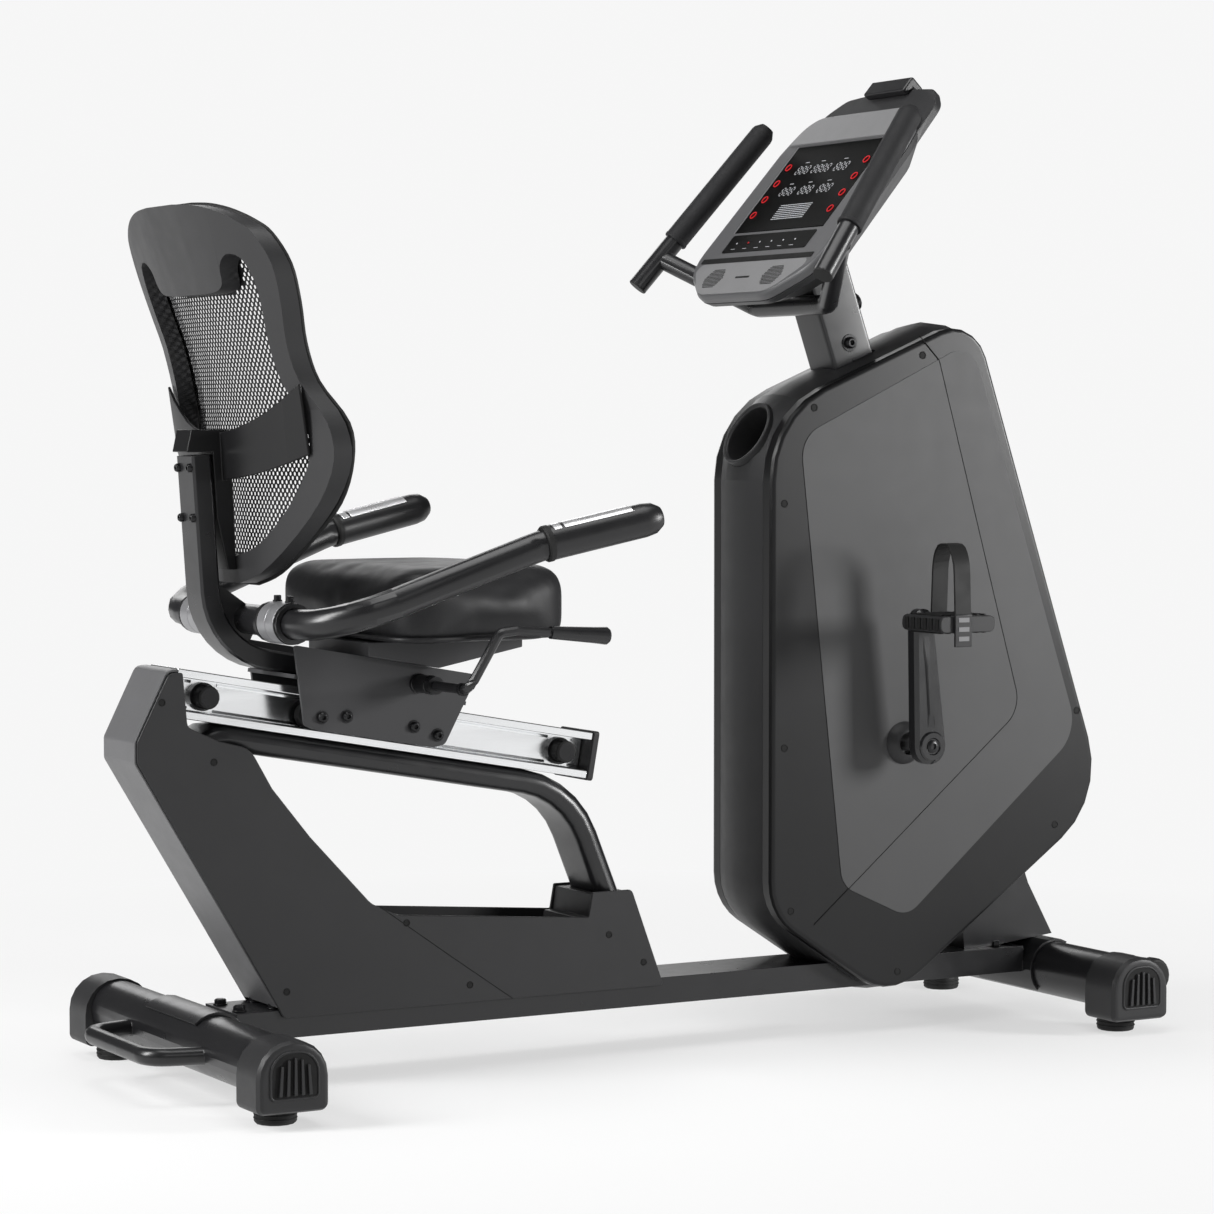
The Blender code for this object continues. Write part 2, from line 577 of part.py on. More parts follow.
def drive():
    axle_end = CRANK_IN - GAP
    hub = 0.016
    profile = [(0, -axle_end), (AXLE_R, -axle_end), (AXLE_R, BELT_OUT - 0.004), (hub, BELT_OUT - 0.004),
               (hub, BELT_OUT), (PULLEY_R, BELT_OUT), (PULLEY_R, BELT_IN), (hub, BELT_IN),
               (hub, -0.0315), (AXLE_R, -0.0315), (AXLE_R, axle_end), (0, axle_end)]
    add("crank_axle", turned(profile, 24), STEEL, location=(CRANK_X, 0, CRANK_Z))
    mirrored(crank)
    shaft, half = 0.008, FLYWHEEL_HALF
    profile = [(0, -0.058), (shaft, -0.058), (shaft, BELT_OUT), (SMALL_PULLEY_R, BELT_OUT),
               (SMALL_PULLEY_R, BELT_IN), (shaft, BELT_IN), (shaft, -half), (FLYWHEEL_R, -half),
               (FLYWHEEL_R, half), (shaft, half), (shaft, 0.034), (0, 0.034)]
    add("flywheel", turned(profile, 24), STEEL, location=(FLYWHEEL_X, 0, FLYWHEEL_Z))
    add("drive_belt", belt(), RUBBER)
    add("brake_arm", brake_arm(), STEEL, location=(BRAKE_X, 0, BRAKE_Z))


def belt():
    """A closed flat belt round both pulleys, touching them over their outer arcs."""
    big, small = Vector((CRANK_X, CRANK_Z)), Vector((FLYWHEEL_X, FLYWHEEL_Z))
    line = small - big
    heading = math.atan2(line.y, line.x)
    lead = math.acos((PULLEY_R - SMALL_PULLEY_R) / line.length)
    loops = []
    for out in (GAP, GAP + BELT_T):
        loop = []
        for centre, radius, start, stop in ((big, PULLEY_R, heading + lead, heading + 2 * math.pi - lead),
                                            (small, SMALL_PULLEY_R, heading - lead, heading + lead)):
            count = 22 if centre is big else 8
            for i in range(count + 1):
                a = start + (stop - start) * i / count
                # The flats of a polygon lie inside its circle, so the corners stand out a little
                reach = (radius + out) / math.cos((stop - start) / count / 2)
                loop.append((centre.x + reach * math.cos(a), centre.y + reach * math.sin(a)))
        loops.append(loop)
    low, high = BELT_OUT + 0.001, BELT_IN - 0.001
    inner, outer = loops
    rings = [[(x, low, z) for x, z in outer], [(x, high, z) for x, z in outer],
             [(x, high, z) for x, z in inner], [(x, low, z) for x, z in inner]]
    return loft(rings, closed=True)


def brake_arm():
    """An arc of magnets round the flywheel's lower rear rim, on a tail that pivots on the frame's pin."""
    centre = Vector((FLYWHEEL_X - BRAKE_X, FLYWHEEL_Z - BRAKE_Z))
    angles = [math.radians(212 + 62 * i / 10) for i in range(11)]
    inner, outer = FLYWHEEL_R + 0.004, FLYWHEEL_R + 0.014
    outline = [(centre.x + outer * math.cos(a), centre.y + outer * math.sin(a)) for a in angles]
    outline += [(0.002, -0.011), (0.011, -0.002), (0.008, 0.008), (-0.004, 0.0115)]
    outline += [(centre.x + inner * math.cos(a), centre.y + inner * math.sin(a))
                for a in reversed(angles[:10])]
    return prism(outline, -0.010, 0.010)


def brake_bore():
    bore = add("brake_bore", cylinder(0.0045, -0.02, 0.02, count=12), STEEL,
               location=(BRAKE_X, 0, BRAKE_Z))
    cut(bpy.data.objects["brake_arm"], bore)


# ---------------------------------------------------------------- mast, handlebar and console


def mast():
    """The upper post; its top is cut square to the console's back."""
    top = -0.0575
    half = MAST_DEPTH / 2
    normal = Vector((-math.sin(FACE_ANGLE), math.cos(FACE_ANGLE)))
    point = Vector((FACE_X, FACE_Z)) + normal * top

    def top_z(offset):
        """Height where the line at that offset from the mast's middle meets the console's back."""
        low = Vector((mast_x(MAST_Z) + offset, MAST_Z))
        along = Vector((-MAST_LEAN, 1.0))
        return MAST_Z + (point - low).dot(normal) / along.dot(normal)

    rear_z, front_z = top_z(-half), top_z(half)
    outline = [(mast_x(MAST_JOINT_Z) - half, MAST_JOINT_Z + GAP),
               (mast_x(MAST_JOINT_Z) + half, MAST_JOINT_Z + GAP),
               (mast_x(front_z) + half, front_z), (mast_x(rear_z) - half, rear_z)]
    post = add("mast", prism(outline, -MAST_HALF, MAST_HALF), BLACK)
    soften(post, 0.006)
    inner, low, high = half - WALL, MAST_JOINT_Z - 0.02, 1.020
    core = [(mast_x(low) - inner, low), (mast_x(low) + inner, low), (mast_x(high) + inner, high),
            (mast_x(high) - inner, high)]
    cut(post, add("mast_core", prism(core, WALL - MAST_HALF, MAST_HALF - WALL), BLACK))


def soften(piece, width, segments=2, angle=40):
    step = piece.modifiers.new("Bevel", "BEVEL")
    step.width = width
    step.segments = segments
    step.limit_method = "ANGLE"
    step.angle_limit = math.radians(angle)


STUB_END, GRIP_TOP = Vector((0.786, 0.241, 1.030)), Vector((0.966, 0.182, 1.257))
GRIP_LOW = STUB_END.lerp(GRIP_TOP, 0.285)


def handlebar():
    joint = Vector((0.818, 0.2335, 1.0705))
    inner = Vector((0.8920, 0.090, 0.998))
    flip = Vector((1, -1, 1))
    path = bent([joint * flip, inner * flip, inner, joint], 0.030)
    bar = add("handlebar", tube(path, 0.0135, count=12), BLACK)
    for side, sign in (("right", Vector((1, -1, 1))), ("left", Vector((1, 1, 1)))):
        low, high = STUB_END * sign, GRIP_TOP * sign
        upright = [low, low.lerp(high, 0.93)]
        join(bar, add(f"upright_{side}", tube(upright, 0.0140, side=(1, 0, 0), count=16), BLACK))
        handlebar_grip(side, sign)


def handlebar_grip(side, sign):
    low, high = GRIP_LOW * sign, GRIP_TOP * sign
    stub = STUB_END * sign
    length = (high - low).length
    bore_end = (high - stub).length * 0.935 - (low - stub).length
    radius, bore = 0.0170, 0.0145
    profile = [(0, length), (0.010, length - 0.002), (radius - 0.001, length - 0.011),
               (radius, length - 0.016), (radius, 0.0), (bore, 0.0), (bore, bore_end), (0, bore_end)]
    bm = turned(profile, 16)
    turn = Vector((0, 1, 0)).rotation_difference(high - low).to_matrix()
    bmesh.ops.rotate(bm, verts=bm.verts, matrix=turn)
    add(f"handlebar_grip_{side}", bm, FOAM, location=low)


def plan(outline, n):
    """Points of a console outline, (s, y), at one depth n; the console's empty has X along s, Z along n."""
    return [(s, y, n) for s, y in outline]


def face_outline(inset=0.0, low=-0.122, high=0.220, half=FACE_HALF):
    corners = [(low, -0.085), (-0.070, -half), (high, -half * 0.93), (high, half * 0.93), (-0.070, half),
               (low, 0.085)]
    return rounded(corners, (0.06, 0.06, 0.075, 0.075, 0.06, 0.06), 4, inset)


def console():
    face = loft([plan(face_outline(inset), n) for n, inset in (
        (-0.014, 0.0), (-0.005, 0.0), (-0.001, 0.003), (0.0, 0.007))])
    face = add("console_face", face, GREY, CONSOLE)
    pocket = box((-0.002, 0.160), (-0.1135, 0.1135), (-0.003, 0.01))
    cut(face, add("display_pocket", pocket, GREY, CONSOLE))
    glass = box((-0.002 + GAP, 0.160 - GAP), (-0.1135 + GAP, 0.1135 - GAP), (-0.003 + GAP, -0.0005))
    add("display_panel", glass, GLASS, CONSOLE)
    back = loft([plan(face_outline(inset), n) for n, inset in (
        (-0.014 - GAP, 0.0), (-0.024, 0.004), (-0.056, 0.048))])
    back = add("console_back", back, PLASTIC, CONSOLE)
    hollow = loft([plan(face_outline(inset), n) for n, inset in ((-0.010, 0.006), (-0.025, 0.008),
                                                                  (-0.052, 0.050))])
    cut(back, add("console_hollow", hollow, PLASTIC, CONSOLE))
    crown = [(0.150, -0.147), (0.234, -0.140), (0.262, -0.108), (0.268, -0.052), (0.268, 0.052),
             (0.262, 0.108), (0.234, 0.140), (0.150, 0.147)]
    crown = rounded(crown, (0.01, 0.03, 0.03, 0.04, 0.04, 0.03, 0.03, 0.01), 3)
    join(back, add("media_panel", loft([plan(crown, n) for n in (-0.026, -0.0155)]), PLASTIC, CONSOLE))
    hook = [(0.2685, -0.0150), (0.2685, -0.0265), (0.272, -0.0285), (0.280, -0.0285), (0.2815, -0.0050),
            (0.279, -0.0035), (0.256, -0.0035), (0.256, -0.0150)]
    add("media_clip", loft([[(s, y, n) for s, n in hook] for y in (-0.050, 0.050)]), PLASTIC, CONSOLE)


# ---------------------------------------------------------------- seat


PLATE_TOP = 0.0813


def carriage():
    """Two side plates joined by a web above the rail, with roller pins and the lever's sleeve."""
    corners = [(0.097, PLATE_TOP), (0.128, -0.016), (0.141, -0.0195), (0.313, -0.0195), (0.328, -0.013),
               (0.359, PLATE_TOP)]
    outline = rounded(corners, (0.003, 0.006, 0.006, 0.006, 0.008, 0.003), 2)
    plates = []
    for sign in (-1, 1):
        near, far = sorted((sign * PLATE_IN, sign * PLATE_OUT))
        plates.append(add(f"plate_{sign}", prism(outline, near, far), STEEL_PAINT, RAIL))
    carriage_plate = plates[0]
    carriage_plate.name = "seat_carriage"
    web = box((0.105, 0.350), (-PLATE_IN - 0.002, PLATE_IN + 0.002), (0.0400, 0.0450))
    join(carriage_plate, add("carriage_web", web, STEEL_PAINT, RAIL), plates[1])
    pin_in, pin_out = 0.0200, PLATE_IN + 0.001
    for i, u in enumerate(ROLLER_U):
        for sign in (-1, 1):
            near, far = sorted((sign * pin_in, sign * pin_out))
            pin = cylinder(0.004, near, far, (u, ROLLER_V), 12)
            join(carriage_plate, add(f"roller_pin_{i}_{sign}", pin, STEEL_PAINT, RAIL))
    sleeve = turned([(0.0068, -0.125), (0.0110, -0.125), (0.0110, -0.072), (0.0068, -0.072)], 14)
    place = (LEVER_AT[0], 0, LEVER_AT[1])
    join(carriage_plate, add("lever_sleeve", sleeve, STEEL_PAINT, location=place))
    bore = cylinder(0.0068, -0.10, -0.06, count=14)
    cut(carriage_plate, add("lever_bore", bore, STEEL_PAINT, location=place))


def rollers():
    low, high = 0.0260, 0.0430
    names = [(end, side, u, sign) for end, u in zip(("rear", "front"), ROLLER_U)
             for side, sign in (("right", -1), ("left", 1))]
    for end, side, u, sign in names:
        y0, y1 = sorted((sign * low, sign * high))
        bm = turned([(0.0045, y0), (ROLLER_R - 0.001, y0), (ROLLER_R, y0 + 0.001), (ROLLER_R, y1 - 0.001),
                     (ROLLER_R - 0.001, y1), (0.0045, y1)], 18)
        add(f"roller_{end}_{side}", bm, RUBBER, RAIL, location=(u, 0, ROLLER_V))


LEVER_AT = (0.2825, 0.507)
LEVER_Y = -0.215


def lever():
    """A cranked rod through the right plate, with a tapered grip moulded on its end."""
    x, z = LEVER_AT
    path = bent([(0, -0.055, 0), (0, LEVER_Y, 0), (0.326 - x, LEVER_Y, 0.577 - z),
                 (0.350 - x, LEVER_Y, 0.5795 - z), (0.440 - x, LEVER_Y, 0.5722 - z)],
                (0.014, 0.010, 0.010), 3)
    rod = add("seat_lever", tube(path, 0.0062, side=(0.3, 0.1, 1), count=10), BLACK, location=(x, 0, z))
    start, end = Vector((0.398, LEVER_Y, 0.5756)), Vector((0.481, LEVER_Y, 0.5690))
    length = (end - start).length
    bm = turned([(0, length), (0.0095, length), (0.0115, length - 0.003), (0.0105, length - 0.020),
                 (0.0082, 0.0), (0, 0.0)], 14)
    turn = Vector((0, 1, 0)).rotation_difference(end - start).to_matrix()
    bmesh.ops.rotate(bm, verts=bm.verts, matrix=turn)
    join(rod, add("lever_grip", bm, RUBBER, location=start))


POST_HALF, POST_DEPTH = 0.026, 0.026
CROSS_X, CROSS_Z = 0.074, 0.592


def seat_post():
    """A curved bar from the carriage's web, back and up behind the back, with the cross tube's sockets."""
    v = 0.0450 + GAP + POST_DEPTH / 2
    path = bent([rail_point(0.330, v), rail_point(0.0138, v), (0.007, 0, 0.798)], 0.095, 8)
    half = POST_DEPTH / 2
    section = rounded([(-POST_HALF, -half), (POST_HALF, -half), (POST_HALF, half), (-POST_HALF, half)],
                      0.003, 1)
    post = add("seat_post", swept(path, section), BLACK)
    socket, wall, end = 0.0194, 0.0255, 0.155
    profile = [(0, -0.080), (socket, -0.080), (socket, -end), (wall, -end), (wall, -0.085), (0.019, -0.085),
               (0.019, 0.085), (wall, 0.085), (wall, end), (socket, end), (socket, 0.080), (0, 0.080)]
    cross = add("cross_tube", turned(profile, 18), BLACK, location=(CROSS_X, 0, CROSS_Z))
    gusset = prism([(0.016, 0.650), (0.016, 0.600), (0.070, 0.550), (0.088, 0.585), (0.076, 0.608)],
                   -0.012, 0.012)
    join(post, cross, add("gusset", gusset, BLACK))


def seat_pan():
    """The seat board, standing on the top edges of the carriage's plates."""
    line = rail_point(0.0, PLATE_TOP + GAP)
    slope = math.tan(RAIL_ANGLE)

    def over_plates(x):
        return line.z - (x - line.x) * slope

    outline = [(0.205, over_plates(0.205)), (0.305, over_plates(0.305)), (0.425, 0.5500), (0.425, SEAT_BASE - GAP),
               (0.205, SEAT_BASE - GAP)]
    add("seat_pan", prism(outline, -0.090, 0.090), GREY)


def seat_cushion():
    rear, front, wide, narrow, top = 0.199, 0.467, 0.208, 0.174, 0.656
    corners = [(rear, -wide), (front, -narrow), (front, narrow), (rear, wide)]
    layers = ((SEAT_BASE, 0.008), (SEAT_BASE + 0.010, 0.0), (top - 0.025, 0.0), (top - 0.008, 0.008),
              (top, 0.028))
    rings = [[(x, y, z) for x, y in rounded(corners, (0.045, 0.065, 0.065, 0.045), 4, inset)]
             for z, inset in layers]
    add("seat_cushion", loft(rings), VINYL)


# The back's middle line, in Z and X: upright below, forward at the small of the back, leaning above
BACK_LINE = ((0.630, 0.055), (0.750, 0.051), (0.850, 0.045), (0.940, 0.020), (1.030, -0.011),
             (1.105, -0.038))
BACK_T = 0.024


def back_x(y, z):
    """Rear surface of the back, by straight steps between the middle line's points."""
    for (low, x_low), (high, x_high) in zip(BACK_LINE, BACK_LINE[1:]):
        if z <= high or high == BACK_LINE[-1][0]:
            x = x_low + (x_high - x_low) * (z - low) / (high - low)
            return x + BACK_CURVE * (y / 0.25) ** 2


def mirror_outline(half_points):
    """A closed outline in Y and Z from its right half (Y > 0), given from the bottom to the top."""
    return half_points + [(-y, z) for y, z in reversed(half_points)]


def smooth_line(points, count):
    """Evenly spaced points along a Catmull-Rom curve through the given ones."""
    padded = [points[0]] + list(points) + [points[-1]]
    line = []
    for i in range(len(points) - 1):
        a, b, c, d = (Vector(padded[i + k]) for k in range(4))
        for k in range(count):
            t = k / count
            line.append(0.5 * (2 * b + (c - a) * t + (2 * a - 5 * b + 4 * c - d) * t * t
                               + (3 * b - a - 3 * c + d) * t * t * t))
    line.append(Vector(points[-1]))
    return [tuple(point) for point in line]


BACK_EDGE = [(0.030, 0.638), (0.090, 0.654), (0.155, 0.692), (0.212, 0.742), (0.241, 0.793),
             (0.234, 0.838), (0.200, 0.888), (0.194, 0.935), (0.207, 0.985), (0.212, 1.030),
             (0.196, 1.066), (0.172, 1.082), (0.140, 1.094), (0.110, 1.101), (0.080, 1.105),
             (0.040, 1.107)]
BACK_WINDOW = [(0.022, 0.672), (0.080, 0.686), (0.132, 0.718), (0.174, 0.757), (0.199, 0.798),
               (0.194, 0.838), (0.166, 0.888), (0.160, 0.935), (0.168, 0.978), (0.170, 1.012),
               (0.157, 1.038), (0.130, 1.043), (0.108, 1.030), (0.100, 1.008), (0.078, 0.999),
               (0.030, 0.997)]


def back_frame():
    outer = mirror_outline(smooth_line(BACK_EDGE, 3))
    inner = mirror_outline(smooth_line(BACK_WINDOW, 3))

    def ring(outline, depth):
        return [(back_x(y, z) + depth, y, z) for y, z in outline]

    add("back_frame", loft([ring(outer, 0), ring(outer, BACK_T), ring(inner, BACK_T), ring(inner, 0)],
                           closed=True), PLASTIC)
    mesh_edge = mirror_outline([(y * 0.985, z) for y, z in smooth_line(BACK_EDGE, 2)])
    front = BACK_T + 0.0026
    add("back_mesh", curtain(mesh_edge, front, front + 0.003), MESH)
    lumbar_band()


def curtain(outline, near, far):
    """A thin curved sheet filling an outline, built of level strips so that it follows the back's curve."""
    half = len(outline) // 2
    left, right = outline[:half], outline[half:][::-1]
    columns = 6
    bm = bmesh.new()
    grids = []
    for depth in (near, far):
        grid = []
        for (y0, z0), (y1, _) in zip(left, right):
            row = []
            for k in range(columns + 1):
                y = y0 + (y1 - y0) * k / columns
                row.append(bm.verts.new((back_x(y, z0) + depth, y, z0)))
            grid.append(row)
        grids.append(grid)
    for grid in grids:
        for low, high in zip(grid, grid[1:]):
            for k in range(columns):
                bm.faces.new((low[k], low[k + 1], high[k + 1], high[k]))

    def border(grid):
        rim = grid[0] + [row[-1] for row in grid[1:]]
        return rim + grid[-1][-2::-1] + [row[0] for row in grid[-2:0:-1]]

    near_rim, far_rim = border(grids[0]), border(grids[1])
    for i, corner in enumerate(near_rim):
        j = (i + 1) % len(near_rim)
        bm.faces.new((corner, near_rim[j], far_rim[j], far_rim[i]))
    return bm


def lumbar_band():
    """A wing across the back, standing off it in the middle, with the spine that takes the seat post."""
    half, count, thick = 0.204, 12, 0.004
    rings = []
    for i in range(count + 1):
        y = half * (2 * i / count - 1)
        part = 1 - (y / half) ** 2
        low, high = 0.800 - 0.033 * part, 0.886 - 0.060 * part
        front = [back_x(y, z) - 0.0016 - 0.009 * part for z in (low, high)]
        rear = [x - thick for x in front]
        rings.append([(rear[0], y, low), (rear[1], y, high), (front[1], y, high), (front[0], y, low)])
    band = add("lumbar_band", loft(rings), PLASTIC)
    spine = [(0.0425, 0.655), (0.0545, 0.655), (0.0500, 0.760), (0.0450, 0.830), (-0.006, 0.830),
             (-0.012, 0.802), (0.0225, 0.802), (0.0282, 0.720)]
    join(band, add("spine", prism(spine, -0.024, 0.024), PLASTIC))


def side_handle(side, sign):
    path = bent([(CROSS_X, sign * 0.0810, CROSS_Z), (CROSS_X, sign * 0.264, CROSS_Z),
                 (0.340, sign * 0.306, 0.690), (0.452, sign * 0.320, 0.714)], (0.098, 0.30), 5)
    add(f"side_handle_{side}", tube(path, 0.0190, count=12), BLACK)
    side_grip(side, sign)


def side_grip(side, sign):
    """A moulded grip over the tube's end, with a flattened, rounded tip."""
    start, end = Vector((0.346, sign * 0.3068, 0.6913)), Vector((0.495, sign * 0.3254, 0.7232))
    length = (end - start).length
    bore_end = 0.111
    profile = [(0, length), (0.013, length - 0.002), (0.0195, length - 0.012), (0.0215, length - 0.026),
               (0.0220, 0.004), (0.0215, 0.0), (0.0200, 0.0), (0.0200, bore_end), (0, bore_end)]
    bm = turned(profile, 18)
    turn = Vector((0, 1, 0)).rotation_difference(end - start).to_matrix()
    bmesh.ops.rotate(bm, verts=bm.verts, matrix=turn)
    add(f"side_grip_{side}", bm, RUBBER, location=start)


def ride_on_seat(piece):
    """Hangs a finished piece, and its cutters and additions, from the empty on the rail's axis."""
    helpers = [step.object for step in piece.modifiers if step.type == "BOOLEAN"]
    for part in [piece] + helpers:
        part.parent = SEAT
        part.location -= SEAT.location


# ---------------------------------------------------------------- build

for old in list(bpy.data.objects):
    bpy.data.objects.remove(old, do_unlink=True)

BLACK = material("black_paint", (0.022, 0.022, 0.024), 0.45)
STEEL_PAINT = material("grey_paint", (0.060, 0.061, 0.064), 0.5)
PLASTIC = material("charcoal_plastic", (0.035, 0.036, 0.038), 0.5)
GREY = material("grey_plastic", (0.20, 0.20, 0.21), 0.45)
RUBBER = material("rubber", (0.015, 0.015, 0.016), 0.7)
FOAM = material("grip_foam", (0.018, 0.018, 0.019), 0.85)
VINYL = material("seat_vinyl", (0.020, 0.020, 0.021), 0.6)
MESH = material("back_mesh", (0.05, 0.05, 0.05), 0.8)
ALUMINIUM = material("polished_aluminium", (0.80, 0.81, 0.82), 0.2, 1.0)
STEEL = material("steel", (0.45, 0.45, 0.46), 0.35, 1.0)
SATIN = material("black_crank", (0.030, 0.030, 0.032), 0.35, 0.2)
GLASS = material("display_glass", (0.004, 0.004, 0.005), 0.08)

BIKE = empty("bike_origin", (-CENTRE_X, 0, 0))
RAIL = empty("rail_axis", (0, 0, RAIL_Z), RAIL_ANGLE, BIKE)
SEAT = empty("seat_axis", rail_point(ROLLER_U[0], 0), 0, BIKE)
CONSOLE = empty("console_axis", (FACE_X, 0, FACE_Z), -FACE_ANGLE, BIKE)

stabilisers()
main_frame()
hoop_and_rail()
mirrored(shroud_panel)
shroud_back()
storage_tray()
mirrored(casing_cover)
casing_band()
bottle_holder()
drive()
brake_bore()
mast()
handlebar()
console()
carriage()
rollers()
lever()
seat_post()
seat_pan()
seat_cushion()
back_frame()
mirrored(side_handle)
for seat_piece in ("seat_post", "seat_pan", "seat_cushion", "back_frame", "back_mesh", "lumbar_band",
                   "side_handle_right", "side_handle_left", "side_grip_right", "side_grip_left"):
    ride_on_seat(bpy.data.objects[seat_piece])
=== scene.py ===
"""Looks for the recumbent exercise bike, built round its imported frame.

Metres, in the frame's own axes: +X to the console, +Y to the rider's left, +Z up. Like the frame's
design, most places are given with X counted forwards from the rear stabiliser; at() shifts them.
"""

import json
import math

import bmesh
import bpy
from mathutils import Matrix, Vector, noise
from mathutils.bvhtree import BVHTree


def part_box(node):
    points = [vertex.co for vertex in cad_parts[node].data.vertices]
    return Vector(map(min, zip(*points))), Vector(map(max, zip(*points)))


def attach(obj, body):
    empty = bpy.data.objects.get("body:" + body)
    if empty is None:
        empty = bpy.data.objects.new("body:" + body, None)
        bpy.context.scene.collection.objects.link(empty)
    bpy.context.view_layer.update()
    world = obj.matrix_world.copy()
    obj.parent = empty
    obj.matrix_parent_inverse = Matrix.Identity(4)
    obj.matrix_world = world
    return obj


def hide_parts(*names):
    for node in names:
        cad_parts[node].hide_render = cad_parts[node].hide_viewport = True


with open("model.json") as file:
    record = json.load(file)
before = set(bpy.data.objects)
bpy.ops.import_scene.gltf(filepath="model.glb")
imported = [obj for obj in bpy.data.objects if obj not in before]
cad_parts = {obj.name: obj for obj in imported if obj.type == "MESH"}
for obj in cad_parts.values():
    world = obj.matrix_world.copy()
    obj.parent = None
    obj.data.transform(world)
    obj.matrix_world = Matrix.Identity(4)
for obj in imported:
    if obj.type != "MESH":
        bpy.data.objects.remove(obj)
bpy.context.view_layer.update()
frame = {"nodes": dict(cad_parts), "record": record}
SLOTS = {row["node"]: row["material_slot"] for row in frame["record"]["subparts"]}
BODIES = {node: body for body, members in frame["record"]["behaviour"]["bodies"].items()
          for node in members}

REAR_X = sum(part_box("rear_foot_right"), Vector()).x / 2  # the rear stabiliser's axis
CASE_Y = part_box("casing_left")[1].y
SHROUD_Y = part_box("shroud_left")[1].y

# The design's own lines: the rail's middle, the console's face, the cranks and the leaning mast
RAIL_ANGLE, RAIL_Z = math.radians(10.1), 0.498
FACE_X, FACE_Z, FACE_ANGLE = 0.869, 1.103, math.radians(49.4)
CRANK_X, CRANK_Z, CRANK_LENGTH, CRANK_LEAN = 1.026, 0.399, 0.172, math.radians(4)
MAST_LEAN, MAST_X, MAST_Z = 0.349, 0.950, 0.987

SIDES = (("right", -1), ("left", 1))
PROUD = 0.0006  # how far a thin inlay stands out of its surface
SUNK = 0.001  # how far a bolt or an inlay starts inside its surface

# The camera, at the photographed three-quarter view from behind on the rider's right
CAMERA_AT = (-1.7677, -4.2032, 0.84)
CAMERA_TURN, CAMERA_DIP, LENS, SENSOR = math.radians(29.4), math.radians(2.93), 107.35, 36.0
BACKDROP = (0.925, 0.925, 0.925)
WORLD_LIGHT = 0.09


def at(x, y, z):
    return Vector((REAR_X + x, y, z))


def on_rail(u, v, y):
    """u runs down along the rail towards the front, v square to it."""
    cos, sin = math.cos(RAIL_ANGLE), math.sin(RAIL_ANGLE)
    return at(u * cos + v * sin, y, RAIL_Z - u * sin + v * cos)


def on_console(s, y, n):
    """s runs up the console's face, n out of it towards the rider."""
    cos, sin = math.cos(FACE_ANGLE), math.sin(FACE_ANGLE)
    return at(FACE_X + s * cos - n * sin, y, FACE_Z + s * sin + n * cos)


def mast_x(z):
    """Where the mast's axis is at a height."""
    return MAST_X - MAST_LEAN * (z - MAST_Z)


# ---------------------------------------------------------------- materials


def surface(name, colour, roughness, metallic=0.0, grain=700.0, bump=0.25, depth=0.0002, tint=0.10,
            spread=0.05, pattern="noise", stretch=(1, 1, 1), sockets=()):
    """A Principled material whose colour, roughness and relief vary over the piece."""
    patch_scale, smear_scale = 9.0, 38.0
    band_low, band_high = 0.3, 0.7  # the part of a noise's range that shows
    made = bpy.data.materials.new(name)
    made.use_nodes = True
    nodes, links = made.node_tree.nodes, made.node_tree.links
    shader = nodes["Principled BSDF"]
    shader.inputs["Metallic"].default_value = metallic
    for socket, value in sockets:
        shader.inputs[socket].default_value = value
    coords = nodes.new("ShaderNodeTexCoord")
    place = nodes.new("ShaderNodeMapping")
    place.inputs["Scale"].default_value = stretch
    links.new(coords.outputs["Object"], place.inputs["Vector"])

    def cloud(scale, detail):
        texture = nodes.new("ShaderNodeTexNoise")
        texture.inputs["Scale"].default_value = scale
        texture.inputs["Detail"].default_value = detail
        links.new(place.outputs["Vector"], texture.inputs["Vector"])
        return texture

    patches = cloud(patch_scale, 4.0)
    ramp = nodes.new("ShaderNodeValToRGB")
    dark, light = ramp.color_ramp.elements
    dark.position, light.position = band_low, band_high
    dark.color = (*(c * (1 - tint) for c in colour), 1)
    light.color = (*(min(1, c * (1 + tint)) for c in colour), 1)
    links.new(patches.outputs["Fac"], ramp.inputs["Fac"])
    links.new(ramp.outputs["Color"], shader.inputs["Base Color"])
    smears = cloud(smear_scale, 5.0)
    gloss = nodes.new("ShaderNodeMapRange")
    gloss.inputs["From Min"].default_value = band_low
    gloss.inputs["From Max"].default_value = band_high
    gloss.inputs["To Min"].default_value = max(0.02, roughness - spread)
    gloss.inputs["To Max"].default_value = min(1.0, roughness + spread)
    links.new(smears.outputs["Fac"], gloss.inputs["Value"])
    links.new(gloss.outputs["Result"], shader.inputs["Roughness"])
    relief = nodes.new("ShaderNodeBump")
    relief.inputs["Strength"].default_value = bump
    relief.inputs["Distance"].default_value = depth
    if pattern == "leather":
        cells = nodes.new("ShaderNodeTexVoronoi")
        cells.feature = "SMOOTH_F1"
        cells.inputs["Scale"].default_value = grain
        links.new(place.outputs["Vector"], cells.inputs["Vector"])
        links.new(cells.outputs["Distance"], relief.inputs["Height"])
    else:
        links.new(cloud(grain, 3.0).outputs["Fac"], relief.inputs["Height"])
    links.new(relief.outputs["Normal"], shader.inputs["Normal"])
    return made


def glow(name, colour, strength):
    """A lit mark, darker than its light where it isn't lit."""
    made = surface(name, tuple(c * 0.3 for c in colour), 0.6, bump=0.0)
    shader = made.node_tree.nodes["Principled BSDF"]
    shader.inputs["Emission Color"].default_value = (*colour, 1)
    shader.inputs["Emission Strength"].default_value = strength
    return made


